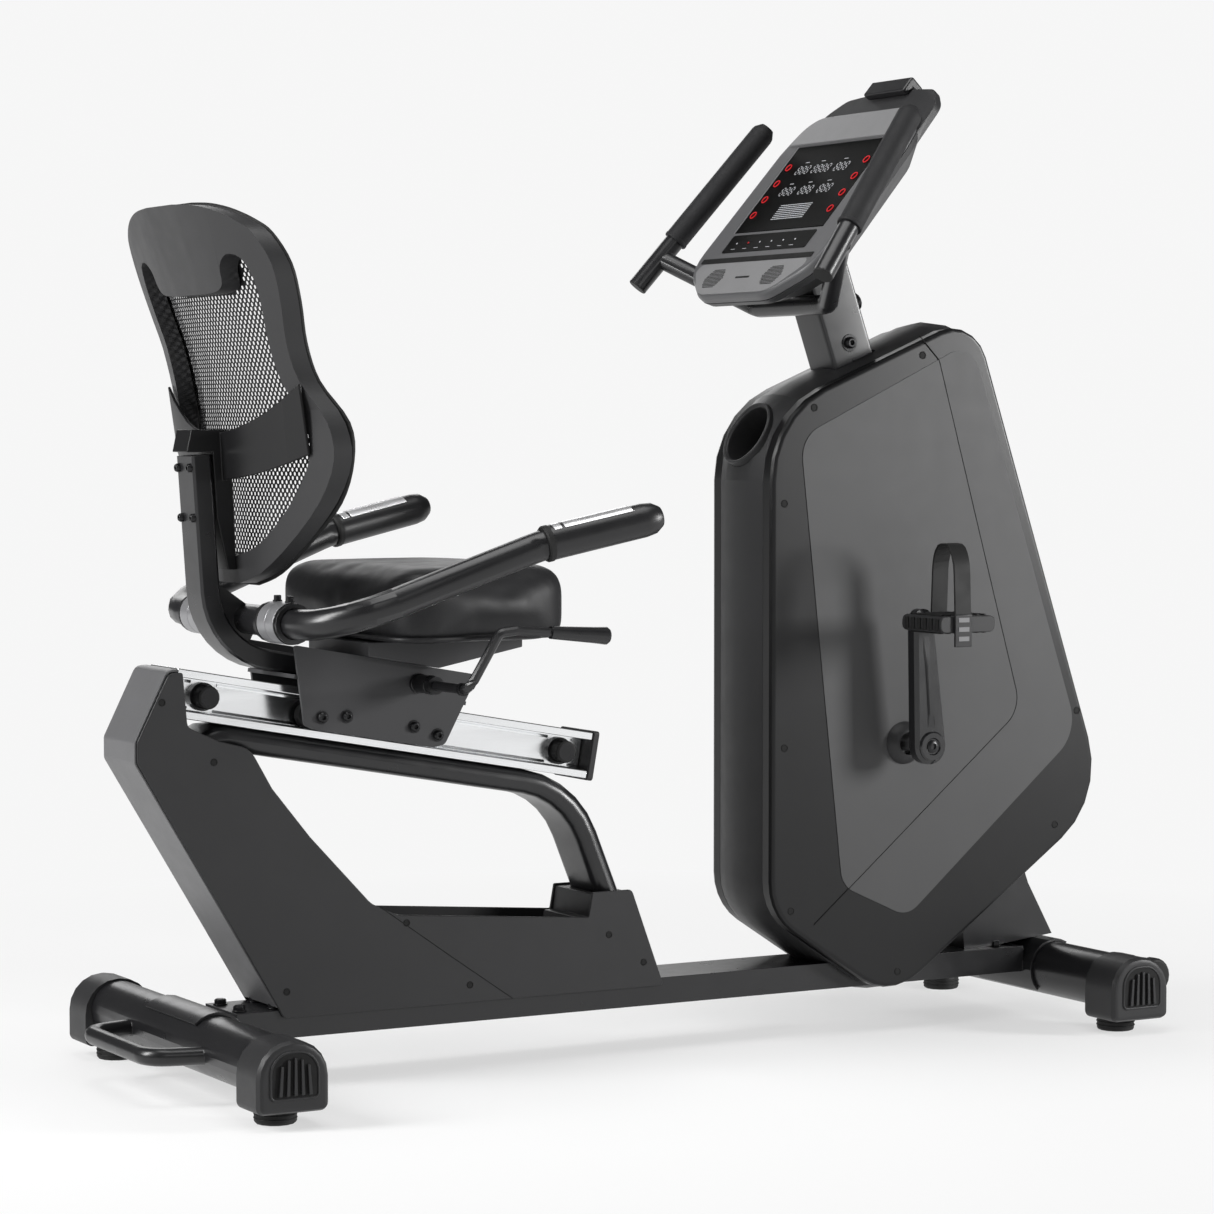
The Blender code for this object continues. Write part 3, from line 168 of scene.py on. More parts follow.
DULL = (("Specular IOR Level", 0.32),)
BLACK = surface("satin_black_paint", (0.011, 0.011, 0.012), 0.30, grain=260, bump=0.03, spread=0.03)
GREY_PAINT = surface("plate_paint", (0.046, 0.046, 0.048), 0.48, grain=300, bump=0.15, tint=0.05,
                     spread=0.03, sockets=DULL)
PLASTIC = surface("charcoal_moulding", (0.024, 0.024, 0.025), 0.44, grain=1500, bump=0.30, tint=0.05,
                  spread=0.03, sockets=DULL)
PANEL = surface("inset_panel", (0.060, 0.060, 0.061), 0.50, grain=1700, bump=0.35, tint=0.03,
                spread=0.02, sockets=DULL)
BAND = surface("gloss_band", (0.0060, 0.0060, 0.0065), 0.34, grain=900, bump=0.08, tint=0.04,
               spread=0.01, sockets=DULL)
SHADE = surface("shroud_strip", (0.100, 0.100, 0.103), 0.42, grain=1500, bump=0.25, tint=0.04,
                spread=0.03)
FACE = surface("console_grey", (0.080, 0.080, 0.083), 0.42, grain=1600, bump=0.25, tint=0.04,
               spread=0.03)
PLATEAU = surface("console_light_grey", (0.165, 0.165, 0.168), 0.42, grain=1600, bump=0.25, tint=0.04,
                  spread=0.03)
RUBBER = surface("black_rubber", (0.009, 0.009, 0.009), 0.60, grain=900, bump=0.30, sockets=DULL)
GRIP = surface("moulded_grip", (0.010, 0.010, 0.011), 0.36, grain=1300, bump=0.20, spread=0.03)
FOAM = surface("grip_foam", (0.010, 0.010, 0.011), 0.66, grain=1400, bump=0.70, depth=0.0004,
               sockets=DULL)
VINYL = surface("seat_vinyl", (0.011, 0.011, 0.012), 0.50, grain=520, bump=0.25, depth=0.00025,
                pattern="leather", tint=0.05, sockets=DULL)
NET = surface("knitted_net", (0.009, 0.009, 0.010), 0.70, grain=2600, bump=0.6, depth=0.0003,
              sockets=DULL)
ALUMINIUM = surface("drawn_aluminium", (0.88, 0.89, 0.90), 0.17, metallic=1.0, grain=420, bump=0.10,
                    tint=0.05, spread=0.08, stretch=(0.03, 1, 1))
CLAMP = surface("clamp_steel", (0.30, 0.30, 0.31), 0.38, metallic=0.55, grain=500, bump=0.12)
STEEL = surface("machined_steel", (0.50, 0.50, 0.51), 0.30, metallic=1.0, grain=800, bump=0.2)
CHROME = surface("pulse_plate", (0.80, 0.80, 0.81), 0.28, metallic=0.8, grain=600, bump=0.05)
BOLT = surface("black_bolt", (0.009, 0.009, 0.010), 0.30, metallic=0.3, grain=900, bump=0.12)
CRANK = surface("crank_paint", (0.010, 0.010, 0.011), 0.24, grain=240, bump=0.08, spread=0.03,
                sockets=(("Coat Weight", 0.2),))
GLASS = surface("display_window", (0.002, 0.002, 0.002), 0.30, bump=0.0, spread=0.01,
                sockets=(("Specular IOR Level", 0.10),))
BUCKLE_GREY = surface("buckle_slot_grey", (0.16, 0.16, 0.165), 0.5, bump=0.1)
WHITE_MARK = glow("lit_white", (0.80, 0.82, 0.85), 0.45)
RED_MARK = glow("lit_red", (0.75, 0.005, 0.012), 0.55)
# Painted shade: near-black laid where grooves, holes, counterbores, the end caps' recesses and the
# parting lines' gaps are in shadow
GROOVE_SHADOW = surface("groove_shadow", (0.003, 0.003, 0.003), 0.70, bump=0.1, sockets=DULL)

BY_SLOT = {
    "black_paint": BLACK, "grey_paint": GREY_PAINT, "crank_paint": CRANK,
    "charcoal_plastic": PLASTIC, "grey_plastic": FACE, "black_rubber": RUBBER, "grip_foam": FOAM,
    "seat_vinyl": VINYL, "back_fabric": NET, "polished_aluminium": ALUMINIUM, "bare_steel": STEEL,
    "display_glass": GLASS}


# ---------------------------------------------------------------- mesh tools


def loft(bm, rings, loop=False):
    """Skins rings of points; closed with a cap at each end, or into a loop."""
    rows = [[bm.verts.new(point) for point in ring] for ring in rings]
    pairs = list(zip(rows, rows[1:])) + ([(rows[-1], rows[0])] if loop else [])
    for low, high in pairs:
        for i, corner in enumerate(low):
            j = (i + 1) % len(low)
            bm.faces.new((corner, low[j], high[j], high[i]))
    if not loop:
        bm.faces.new(rows[0][::-1])
        bm.faces.new(rows[-1])


def across(axis):
    """Two directions square to an axis."""
    axis = Vector(axis).normalized()
    first = axis.orthogonal().normalized()
    return first, axis.cross(first)


def turn(bm, base, axis, profile, count):
    """Turns (radius, height) points about an axis; a zero radius closes the shape."""
    base, axis = Vector(base), Vector(axis).normalized()
    one, two = across(axis)
    rows = []
    for radius, height in profile:
        middle = base + axis * height
        if radius == 0:
            rows.append([bm.verts.new(middle)] * count)
            continue
        rows.append([bm.verts.new(point) for point in circle(middle, one, two, radius, count)])
    for low, high in zip(rows, rows[1:]):
        for i in range(count):
            j = (i + 1) % count
            corners = list(dict.fromkeys((low[i], low[j], high[j], high[i])))
            if len(corners) > 2:
                bm.faces.new(corners)


def circle(middle, one, two, radius, count):
    """Points on a circle in the plane of two directions."""
    return [middle + (one * math.cos(a) + two * math.sin(a)) * radius
            for a in (2 * math.pi * i / count for i in range(count))]


def pipe(bm, points, radius, count=8, loop=False):
    """A round bead along a line of points, kept from twisting."""
    points = [Vector(point) for point in points]
    side, rings = None, []
    for i, point in enumerate(points):
        before = points[i - 1] if (i or loop) else point
        after = points[(i + 1) % len(points)] if (i < len(points) - 1 or loop) else point
        along = (after - before).normalized()
        side = across(along)[0] if side is None else (side - along * side.dot(along)).normalized()
        rings.append(circle(point, side, along.cross(side), radius, count))
    loft(bm, rings, loop)


def corner_arc(before, corner, after, radius, steps):
    """The arc that rounds a corner off, given its neighbours on both sides."""
    back, on = (before - corner).normalized(), (after - corner).normalized()
    half = back.angle(on) / 2
    centre = corner + (back + on).normalized() * (radius / math.sin(half))
    first = corner + back * (radius / math.tan(half)) - centre
    last = corner + on * (radius / math.tan(half)) - centre
    swing = first.angle_signed(last)
    return [centre + Matrix.Rotation(-swing * k / steps, 2) @ first for k in range(steps + 1)]


def rounded(corners, radii, steps):
    """A closed 2-D outline with arcs for corners."""
    if not hasattr(radii, "__len__"):
        radii = [radii] * len(corners)
    points, outline = [Vector(corner) for corner in corners], []
    for i, radius in enumerate(radii):
        after = points[(i + 1) % len(points)]
        outline += [tuple(p) for p in corner_arc(points[i - 1], points[i], after, radius, steps)]
    return outline


def slab(bm, outline, place, low, high, chamfer=0.0):
    """An outline made a plate between two heights; place(a, b, height) puts its points in space."""
    middle = Vector((sum(a for a, _ in outline), sum(b for _, b in outline))) / len(outline)

    def shrunk(amount):
        ring = []
        for point in outline:
            inward = middle - Vector(point)
            ring.append(Vector(point) + inward.normalized() * min(amount, inward.length / 2))
        return ring

    levels = [(low, 0.0), (high, 0.0)]
    if chamfer:
        step = chamfer if high > low else -chamfer
        levels = [(low, 0.0), (high - step, 0.0), (high, chamfer)]
    loft(bm, [[place(a, b, height) for a, b in shrunk(inset)] for height, inset in levels])


def rectangle(a, b):
    """The corners of a rectangle, from its limits each way."""
    return [(a[0], b[0]), (a[1], b[0]), (a[1], b[1]), (a[0], b[1])]


def on_side(y):
    """Places X and Z points on a plane of constant Y; height is counted outwards from it."""
    return lambda x, z, height: at(x, y + math.copysign(height, y), z)


def soften(piece, width, segments):
    """Eases the edges, where a width is given, and evens out the shading."""
    if width:
        step = piece.modifiers.new("Rounded edges", "BEVEL")
        step.width, step.segments = width, segments
        step.limit_method, step.angle_limit = "ANGLE", math.radians(35)
        step.use_clamp_overlap = True
    step = piece.modifiers.new("Even shading", "WEIGHTED_NORMAL")
    step.keep_sharp = True


def piece_of(name, bm, finish, body, slot, bevel=0.0, segments=2, angle=38.0):
    """Makes a bmesh a piece of the model that rides on a body."""
    bmesh.ops.recalc_face_normals(bm, faces=bm.faces)
    mesh = bpy.data.meshes.new(name)
    bm.to_mesh(mesh)
    bm.free()
    mesh.materials.append(finish)
    mesh.shade_smooth()
    mesh.set_sharp_from_angle(angle=math.radians(angle))
    made = bpy.data.objects.new(name, mesh)
    bpy.context.scene.collection.objects.link(made)
    soften(made, bevel, segments)
    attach(made, body)
    return made


def node_mesh(node):
    """A CAD node's mesh as one welded bmesh, with its flat faces made whole again."""
    bm = bmesh.new()
    bm.from_mesh(frame["nodes"][node].data)
    bmesh.ops.remove_doubles(bm, verts=bm.verts, dist=2e-6)
    bmesh.ops.dissolve_limit(bm, angle_limit=math.radians(0.6), verts=bm.verts, edges=bm.edges)
    return bm


def refined(node, bevel, segments, finish):
    """The same shape as a CAD node, with eased edges and smooth round faces."""
    slot = SLOTS[node]
    made = piece_of(node + "_skin", node_mesh(node), finish or BY_SLOT[slot], BODIES[node], slot,
                    bevel, segments)
    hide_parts(node)
    return made


def tree_of(node):
    """A CAD node's surface, to cast rays at."""
    mesh = frame["nodes"][node].data
    return BVHTree.FromPolygons([v.co for v in mesh.vertices], [p.vertices for p in mesh.polygons])


def bolt(bm, base, axis, radius, height):
    """A round-headed bolt with a socket, its seat a little sunk."""
    floor = height * 0.35
    turn(bm, base, axis, [(0, -SUNK), (radius, -SUNK), (radius, height * 0.55), (radius * 0.72, height),
                          (radius * 0.45, height), (radius * 0.42, floor), (0, floor)], 18)


def disc(bm, base, axis, radius, thickness=0.0012, count=22):
    """A flat round plate: a washer, unless told otherwise."""
    turn(bm, base, axis, [(0, 0), (radius, 0), (radius, thickness), (0, thickness)], count)


# ---------------------------------------------------------------- stage, camera and light


def aim(made, target):
    """Turns a light to face a place."""
    made.rotation_euler = (Vector(target) - made.location).to_track_quat("-Z", "Y").to_euler()


def area_light(name, place, target, size, power):
    data = bpy.data.lights.new(name, "AREA")
    data.shape = "RECTANGLE"
    data.size, data.size_y = size
    data.energy = power
    made = bpy.data.objects.new(name, data)
    made.location = place
    aim(made, target)
    bpy.context.scene.collection.objects.link(made)


def camera():
    data = bpy.data.cameras.new("camera")
    data.lens, data.sensor_width = LENS, SENSOR
    data.clip_start, data.clip_end = 0.1, 100
    made = bpy.data.objects.new("camera", data)
    made.location = at(*CAMERA_AT)
    ahead = Vector((math.sin(CAMERA_TURN) * math.cos(CAMERA_DIP),
                    math.cos(CAMERA_TURN) * math.cos(CAMERA_DIP), -math.sin(CAMERA_DIP)))
    made.rotation_euler = ahead.to_track_quat("-Z", "Y").to_euler()
    bpy.context.scene.collection.objects.link(made)
    bpy.context.scene.camera = made


def backdrop_material():
    """Pale floor: it takes soft shadows near the bike and melts into the backdrop further out."""
    made = bpy.data.materials.new("pale_floor")
    made.use_nodes = True
    nodes, links = made.node_tree.nodes, made.node_tree.links
    shader = nodes["Principled BSDF"]
    shader.inputs["Base Color"].default_value = (0.90, 0.90, 0.90, 1)
    shader.inputs["Roughness"].default_value = 0.95
    shader.inputs["Specular IOR Level"].default_value = 0.1
    flat = nodes.new("ShaderNodeEmission")
    flat.inputs["Color"].default_value = (*BACKDROP, 1)
    coords, measure = nodes.new("ShaderNodeTexCoord"), nodes.new("ShaderNodeVectorMath")
    measure.operation = "LENGTH"
    links.new(coords.outputs["Object"], measure.inputs[0])
    fade = nodes.new("ShaderNodeMapRange")  # by the distance in metres from the bike's middle
    for socket, value in (("From Min", 0.5), ("From Max", 1.9), ("To Min", 0.55), ("To Max", 1.0)):
        fade.inputs[socket].default_value = value
    links.new(measure.outputs["Value"], fade.inputs["Value"])
    mix = nodes.new("ShaderNodeMixShader")
    links.new(fade.outputs["Result"], mix.inputs["Fac"])
    links.new(shader.outputs["BSDF"], mix.inputs[1])
    links.new(flat.outputs["Emission"], mix.inputs[2])
    links.new(mix.outputs["Shader"], nodes["Material Output"].inputs["Surface"])
    return made


def stage():
    bm = bmesh.new()
    half, thick = 30.0, 0.02
    square = rectangle((-half, half), (-half, half))
    loft(bm, [[(x, y, z) for x, y in square] for z in (-thick, 0.0)])
    mesh = bpy.data.meshes.new("floor")
    bm.to_mesh(mesh)
    bm.free()
    mesh.materials.append(backdrop_material())
    floor = bpy.data.objects.new("floor", mesh)
    bpy.context.scene.collection.objects.link(floor)


def studio():
    world = bpy.data.worlds.new("studio")
    bpy.context.scene.world = world
    world.use_nodes = True
    nodes, links = world.node_tree.nodes, world.node_tree.links
    back = nodes["Background"]
    back.inputs["Color"].default_value = (*BACKDROP, 1)
    back.inputs["Strength"].default_value = WORLD_LIGHT
    seen = nodes.new("ShaderNodeBackground")
    seen.inputs["Color"].default_value = (*BACKDROP, 1)
    path, mix = nodes.new("ShaderNodeLightPath"), nodes.new("ShaderNodeMixShader")
    links.new(path.outputs["Is Camera Ray"], mix.inputs["Fac"])
    links.new(back.outputs["Background"], mix.inputs[1])
    links.new(seen.outputs["Background"], mix.inputs[2])
    links.new(mix.outputs["Shader"], nodes["World Output"].inputs["Surface"])
    middle = (0, 0, 0.6)
    # name, place, what it faces, width and height, watts
    area_light("top_softbox", (-0.3, -0.4, 3.2), middle, (2.2, 1.8), 46)
    area_light("key_softbox", (3.2, -2.6, 1.3), (0.2, 0, 0.6), (0.8, 1.2), 135)
    area_light("rear_softbox", (-3.0, 0.3, 1.9), (-0.4, 0, 0.8), (0.8, 1.8), 100)
    area_light("fill_softbox", (-1.6, -4.4, 2.6), middle, (1.6, 1.6), 16)
    area_light("far_softbox", (1.0, 3.4, 1.9), middle, (2.4, 1.8), 30)
    bpy.context.scene.view_settings.view_transform = "Standard"


# ---------------------------------------------------------------- seat


def calm(points, count):
    """A Catmull-Rom curve through the points, each stretch in so many steps."""
    padded = [points[0]] + list(points) + [points[-1]]
    line = []
    for i in range(len(points) - 1):
        a, b, c, d = (Vector(padded[i + k]) for k in range(4))
        for k in range(count):
            t = k / count
            line.append(0.5 * (2 * b + (c - a) * t + (2 * a - 5 * b + 4 * c - d) * t * t
                               + (3 * b - a - 3 * c + d) * t * t * t))
    return line + [Vector(points[-1])]


def cushion():
    """Foam under tight vinyl: the CAD pad, a little smaller, blown up by a cloth simulation."""
    low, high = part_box("seat_cushion")
    centre = (low + high) / 2
    shrink, voxel, most = 0.003, 0.006, 0.004  # most: how far the foam may swell
    crown, ripple, ripple_scale = 0.004, 0.0006, 22
    bottom, top = low.z + 0.0004, high.z + 0.006
    bm = node_mesh("seat_cushion")
    for vert in bm.verts:
        for axis in range(3):
            half = (high[axis] - low[axis]) / 2
            vert.co[axis] = centre[axis] + (vert.co[axis] - centre[axis]) * (1 - shrink / half)
    mesh = bpy.data.meshes.new("seat_cushion_pad")
    bm.to_mesh(mesh)
    bm.free()
    pad = bpy.data.objects.new("seat_cushion_pad", mesh)
    bpy.context.scene.collection.objects.link(pad)
    bpy.context.view_layer.objects.active = pad
    step = pad.modifiers.new("Even grid", "REMESH")
    step.mode, step.voxel_size = "VOXEL", voxel
    bpy.ops.object.modifier_apply(modifier=step.name)
    rest = [vert.co.copy() for vert in pad.data.vertices]
    inflate(pad)
    for vert, start in zip(pad.data.vertices, rest):
        moved = vert.co - start
        if moved.length > most:
            vert.co = start + moved * (most / moved.length)
        crown_x = 1 - ((vert.co.x - centre.x) / (high.x - centre.x)) ** 2
        crown_y = 1 - (vert.co.y / high.y) ** 2
        if vert.co.z > centre.z:
            vert.co.z += crown * max(0.0, crown_x) * max(0.0, crown_y)
        vert.co.z += ripple * noise.noise(vert.co * ripple_scale)
        vert.co.z = min(max(vert.co.z, bottom), top)
    smooth = pad.modifiers.new("Relax", "SMOOTH")
    smooth.factor, smooth.iterations = 0.5, 10
    fine = pad.modifiers.new("Fine", "SUBSURF")
    fine.levels = fine.render_levels = 1
    pad.data.materials.append(VINYL)
    pad.data.shade_smooth()
    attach(pad, "carriage")
    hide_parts("seat_cushion")
    seam_under_cushion(low, high)


def inflate(pad):
    """Swells the pad by a short cloth simulation under pressure, and applies it."""
    scene = bpy.context.scene
    step = pad.modifiers.new("Cloth", "CLOTH")
    cloth = step.settings
    cloth.use_pressure, cloth.uniform_pressure_force = True, 2.0
    cloth.effector_weights.gravity = 0.0
    cloth.quality, last = 5, 20
    step.point_cache.frame_start, step.point_cache.frame_end = 1, last
    for number in range(1, last + 1):
        scene.frame_set(number)
    bpy.ops.object.modifier_apply(modifier=step.name)
    scene.frame_set(1)


def seam_under_cushion(low, high):
    """The welt where the vinyl is drawn round the seat board."""
    inset, z, front_half = 0.004, low.z + 0.007, 0.174
    corners = [(low.x + inset, -high.y + inset), (high.x - inset, -front_half + inset),
               (high.x - inset, front_half - inset), (low.x + inset, high.y - inset)]
    line = [Vector((x, y, z)) for x, y in rounded(corners, (0.045, 0.065, 0.065, 0.045), 8)]
    bm = bmesh.new()
    pipe(bm, line, 0.0030, loop=True)
    piece_of("seat_cushion_welt", bm, VINYL, "carriage", "seat_vinyl")


def back_net():
    """The knitted back: staggered open cells, closed where the fabric lies on the frame."""
    sheet, solid = tree_of("back_mesh"), tree_of("back_frame")
    low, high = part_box("back_mesh")
    behind, ahead = low.x - 0.2, Vector((1, 0, 0))
    wide, pitch, sunk, thick = 0.0096, 0.0052, 0.0008, 0.0008
    half, hole = Vector((wide / 2, pitch / 1.5)), Vector((0.0025, 0.0029))
    hexagon = ((0, -1), (1, -0.5), (1, 0.5), (0, 1), (-1, 0.5), (-1, -0.5))
    bm, made = bmesh.new(), {}

    def hit(tree, y, z):
        return tree.ray_cast(Vector((behind, y, z)), ahead, 1.0)[0]

    def corner(y, z, layer):
        key = (round(y, 6), round(z, 6), layer)
        if key not in made:
            point = hit(sheet, y, z)
            made[key] = point and bm.verts.new((point.x + sunk + layer * thick, y, z))
        return made[key]

    def rings(y, z, size):
        return [[corner(y + a * size.x, z + b * size.y, layer) for a, b in hexagon]
                for layer in (0, 1)]

    columns = int(high.y / wide) + 1
    for i in range(int((high.z - low.z) / pitch)):
        z = low.z + pitch * (i + 0.5)
        for k in range(-columns, columns + 1):
            y = wide * (k + 0.5 * (i % 2))
            rear, front = rings(y, z, half)
            if None in rear + front:
                continue
            if hit(solid, y, z):
                bm.faces.new(rear[::-1])
                bm.faces.new(front)
                continue
            rear_hole, front_hole = rings(y, z, hole)
            if None in rear_hole + front_hole:
                continue
            for j in range(6):
                n = (j + 1) % 6
                bm.faces.new((rear[n], rear[j], rear_hole[j], rear_hole[n]))
                bm.faces.new((front[j], front[n], front_hole[n], front_hole[j]))
                bm.faces.new((rear_hole[n], rear_hole[j], front_hole[j], front_hole[n]))
    close_rim(bm, made)
    net = piece_of("back_net", bm, NET, "carriage", "back_fabric", angle=60)
    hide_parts("back_mesh")


def close_rim(bm, made):
    """Joins the net's two layers round its outer edge; made holds both, by place and layer."""
    other = {vert: made.get((y, z, 1 - layer)) for (y, z, layer), vert in made.items() if vert}
    for edge in [edge for edge in bm.edges if len(edge.link_faces) == 1]:
        one, two = edge.verts
        pair_one, pair_two = other.get(one), other.get(two)
        opposite = pair_one and pair_two and bm.edges.get((pair_one, pair_two))
        corners = (two, one, pair_one, pair_two)
        if opposite and len(opposite.link_faces) == 1 and not bm.faces.get(corners):
            bm.faces.new(corners)


def back_edge():
    """A bead round the net where it is tucked into the frame's rim."""
    rows = {}
    for vert in frame["nodes"]["back_mesh"].data.vertices:
        key = round(vert.co.z, 4)
        if key not in rows or vert.co.y > rows[key].y:
            rows[key] = vert.co.copy()
    step, tucked = max(1, len(rows) // 14), Vector((0.0016, -0.0035, 0))
    side = calm([rows[key] + tucked for key in sorted(rows)[::step]], 4)
    line = side + [Vector((p.x, -p.y, p.z)) for p in reversed(side)]
    bm = bmesh.new()
    pipe(bm, line, 0.0036, 10, loop=True)
    piece_of("back_net_edge", bm, RUBBER, "carriage", "back_fabric")


def clamp_halves(clamps, bolts, rims, sign):
    """Two clamp shells on the cross tube, a nut on each, and a rubber rim at both ends."""
    tube_x, tube_z, inner_y = 0.074, 0.592, 0.098
    low = at(tube_x, sign * inner_y, tube_z)
    outwards, length, ease = (0, sign, 0), 0.0235, 0.001
    for start in (0.0, 0.0245):
        end = start + length
        turn(clamps, low, outwards, [(0, start), (0.0257, start), (0.0263, start + ease),
                                     (0.0263, end - ease), (0.0257, end), (0, end)], 36)
    for along in (0.006, 0.042):
        top = low + Vector((0, sign * along, 0.0245))
        turn(bolts, top, (0, 0, 1), [(0, 0), (0.0060, 0), (0.0060, 0.0035), (0.0048, 0.0035),
                                     (0.0048, 0.0085), (0.0040, 0.0095), (0, 0.0095)], 6)
    for start in (-0.0040, 0.0490):
        turn(rims, low + Vector((0, sign * start, 0)), outwards,
             [(0, 0), (0.0259, 0), (0.0262, 0.0008), (0.0259, 0.0028), (0, 0.0028)], 32)


def seat_hardware():
    """Clamps round the cross tube, and the bolts of the post, the carriage and the clamps."""
    plate_y, washer_thick = 0.075, 0.001
    clamps, bolts, rims = bmesh.new(), bmesh.new(), bmesh.new()
    for sign in (-1, 1):
        clamp_halves(clamps, bolts, rims, sign)
        for u, v in ((0.150, -0.003), (0.184, 0.003), (0.280, 0.003), (0.315, -0.003)):
            base = on_rail(u, v, sign * plate_y)
            disc(bolts, base, (0, sign, 0), 0.0085)
            bolt(bolts, base + Vector((0, sign * washer_thick, 0)), (0, sign, 0), 0.0064, 0.0052)
    piece_of("handle_clamps", clamps, CLAMP, "carriage", "grey_paint")
    piece_of("clamp_rims", rims, RUBBER, "carriage", "black_rubber")
    for z in (0.720, 0.7825):
        for y in (-0.0185, 0.0185):
            bolt(bolts, Vector((post_rear_x(z), y, z)), (-1, 0, -0.05), 0.0056, 0.0055)
    piece_of("seat_bolts", bolts, BOLT, "carriage", "black_paint", bevel=0.0003)


def post_rear_x(z):
    """Rear face of the seat post at a height, read from its mesh a little off the middle."""
    off_middle, behind = 0.0075, -2.0
    return tree_of("seat_post").ray_cast(Vector((behind, off_middle, z)), Vector((1, 0, 0)))[0].x


def lever_collar():
    """The grooved boss of the seat lever, and the cap at its outer end."""
    pin_x, pin_z = 0.2825, 0.507
    bm = bmesh.new()
    turn(bm, at(pin_x, -0.0752, pin_z), (0, -1, 0),
         [(0, 0), (0.0128, 0), (0.0128, 0.004), (0.0116, 0.005), (0.0116, 0.030), (0.0124, 0.031),
          (0.0124, 0.037), (0.0114, 0.038), (0.0114, 0.0505), (0, 0.0505)], 26)
    disc(bm, at(pin_x, -0.196, pin_z), (0, -1, 0), 0.0082, 0.006)
    piece_of("lever_collar", bm, BOLT, "carriage", "black_paint")


def pulse_plates():
    """Bright hand-pulse plates with gaps between them on both side grips, and a collar behind."""
    inner, rim, outer, steps = 0.0215, 0.0205, 0.0226, 6
    long, short = (0.020, 0.112), (0.006, 0.016)
    for side, sign in SIDES:
        start, end = at(0.346, sign * 0.3068, 0.6913), at(0.495, sign * 0.3254, 0.7232)
        along = (end - start).normalized()
        up = (Vector((0, 0, 1)) - along * along.z).normalized()
        out = Vector((0, sign, 0)) - along * (along.y * sign)
        out = (out - up * out.dot(up)).normalized()
        bm = bmesh.new()
        # from one angle to another over the grip's top, in degrees, and between two lengths
        for first, last, (begin, stop) in ((-48, -7, long), (3, 44, long), (-48, 44, short)):
            rings = []
            for i in range(steps + 1):
                angle = math.radians(first + (last - first) * i / steps)
                ray = up * math.cos(angle) + out * math.sin(angle)
                rings.append([start + along * d + ray * r for d, r in
                              ((begin, inner), (stop, rim), (stop, outer), (begin, outer))])
            loft(bm, rings)
        piece_of(f"pulse_plate_{side}", bm, CHROME, "carriage", "bare_steel", bevel=0.0004)
        collar = bmesh.new()
        turn(collar, start - along * 0.007, along,
             [(0, 0), (0.0212, 0), (0.0228, 0.002), (0.0228, 0.008), (0, 0.008)], 30)
        piece_of(f"grip_collar_{side}", collar, RUBBER, "carriage", "black_rubber")


# ---------------------------------------------------------------- base


def end_grilles():
    """Upright ribs on each end cap's outer face, over an arch in painted shade that stands for a recess,
    with a bead round it.
    """
    half, bottom, top, rib_half, rib_pitch = 0.031, 0.038, 0.094, 0.0022, 0.0098
    arch = rounded([(-half, bottom), (half, bottom), (half, top), (-half, top)],
                   (0.006, 0.006, 0.026, 0.026), 8)
    for node in ("rear_end_cap_right", "rear_end_cap_left", "front_end_cap_right", "front_end_cap_left"):
        low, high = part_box(node)
        sign = -1 if low.y + high.y < 0 else 1
        face, x = (low.y if sign < 0 else high.y), (low.x + high.x) / 2
        if node.startswith("front"):
            x = sum(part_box("front_foot_right"), Vector()).x / 2

        def place(a, b, height):
            return Vector((x + a, face + sign * height, b))

        bm, dark = bmesh.new(), bmesh.new()
        # painted shade: a near-black sheet just proud of the face, dark where the recess would be
        # shadowed
        slab(dark, arch, place, -SUNK, 0.0006, 0.0004)
        for k in range(-2, 3):
            lean, rib_top = 0.0012 * k, 0.087 - 0.0022 * k * k
            middle, tip_half = rib_pitch * k, rib_half - 0.0006
            rib = [(middle - rib_half, bottom + 0.004), (middle + rib_half, bottom + 0.004),
                   (middle + tip_half - lean, rib_top), (middle - tip_half - lean, rib_top)]
            slab(bm, rib, place, -0.002, 0.0042, 0.0008)
        pipe(bm, [place(a, b, 0.0004) for a, b in arch], 0.0016, loop=True)
        piece_of(node + "_grille", bm, PLASTIC, "frame", "charcoal_plastic", bevel=0.0003)
        piece_of(node + "_recess_shade", dark, GROOVE_SHADOW, "frame", "charcoal_plastic")


def foot_rings():
    """Two raised rings round each levelling foot; they move with it."""
    for node in ("rear_foot_right", "rear_foot_left", "front_foot_right", "front_foot_left"):
        low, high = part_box(node)
        bm = bmesh.new()
        for z in (0.007, 0.012):
            middle = Vector(((low.x + high.x) / 2, (low.y + high.y) / 2, z))
            ring = circle(middle, Vector((1, 0, 0)), Vector((0, 1, 0)), (high.x - low.x) / 2, 32)
            pipe(bm, ring, 0.0007, 6, loop=True)
        piece_of(node + "_rings", bm, RUBBER, BODIES[node], "black_rubber")


def frame_bolts():
    """Nuts on both stabilisers' plates, the mast's pinch bolt and its clamp knob."""
    plate_z, pinch_z, knob_z = 0.0985, 0.948, 0.990
    bm = bmesh.new()
    for x in (0.052, 0.100, 1.215):
        for y in (-0.030, 0.030):
            disc(bm, at(x, y, plate_z), (0, 0, 1), 0.0095)
            turn(bm, at(x, y, plate_z), (0, 0, 1),
                 [(0, 0), (0.0078, 0), (0.0078, 0.006), (0.0062, 0.0075), (0, 0.0075)], 6)
    for sign in (-1, 1):
        disc(bm, at(mast_x(pinch_z), sign * 0.033, pinch_z), (0, sign, 0), 0.0120)
        bolt(bm, at(mast_x(pinch_z), sign * 0.0340, pinch_z), (0, sign, 0), 0.0080, 0.0060)
    ahead = Vector((1, 0, MAST_LEAN)).normalized()
    turn(bm, at(mast_x(knob_z), 0, knob_z) + ahead * 0.0345, ahead,
         [(0, 0), (0.008, 0), (0.008, 0.005), (0.013, 0.007), (0.0135, 0.014), (0.011, 0.017),
          (0, 0.017)], 12)
    piece_of("frame_bolts", bm, BOLT, "frame", "black_paint", bevel=0.0004)


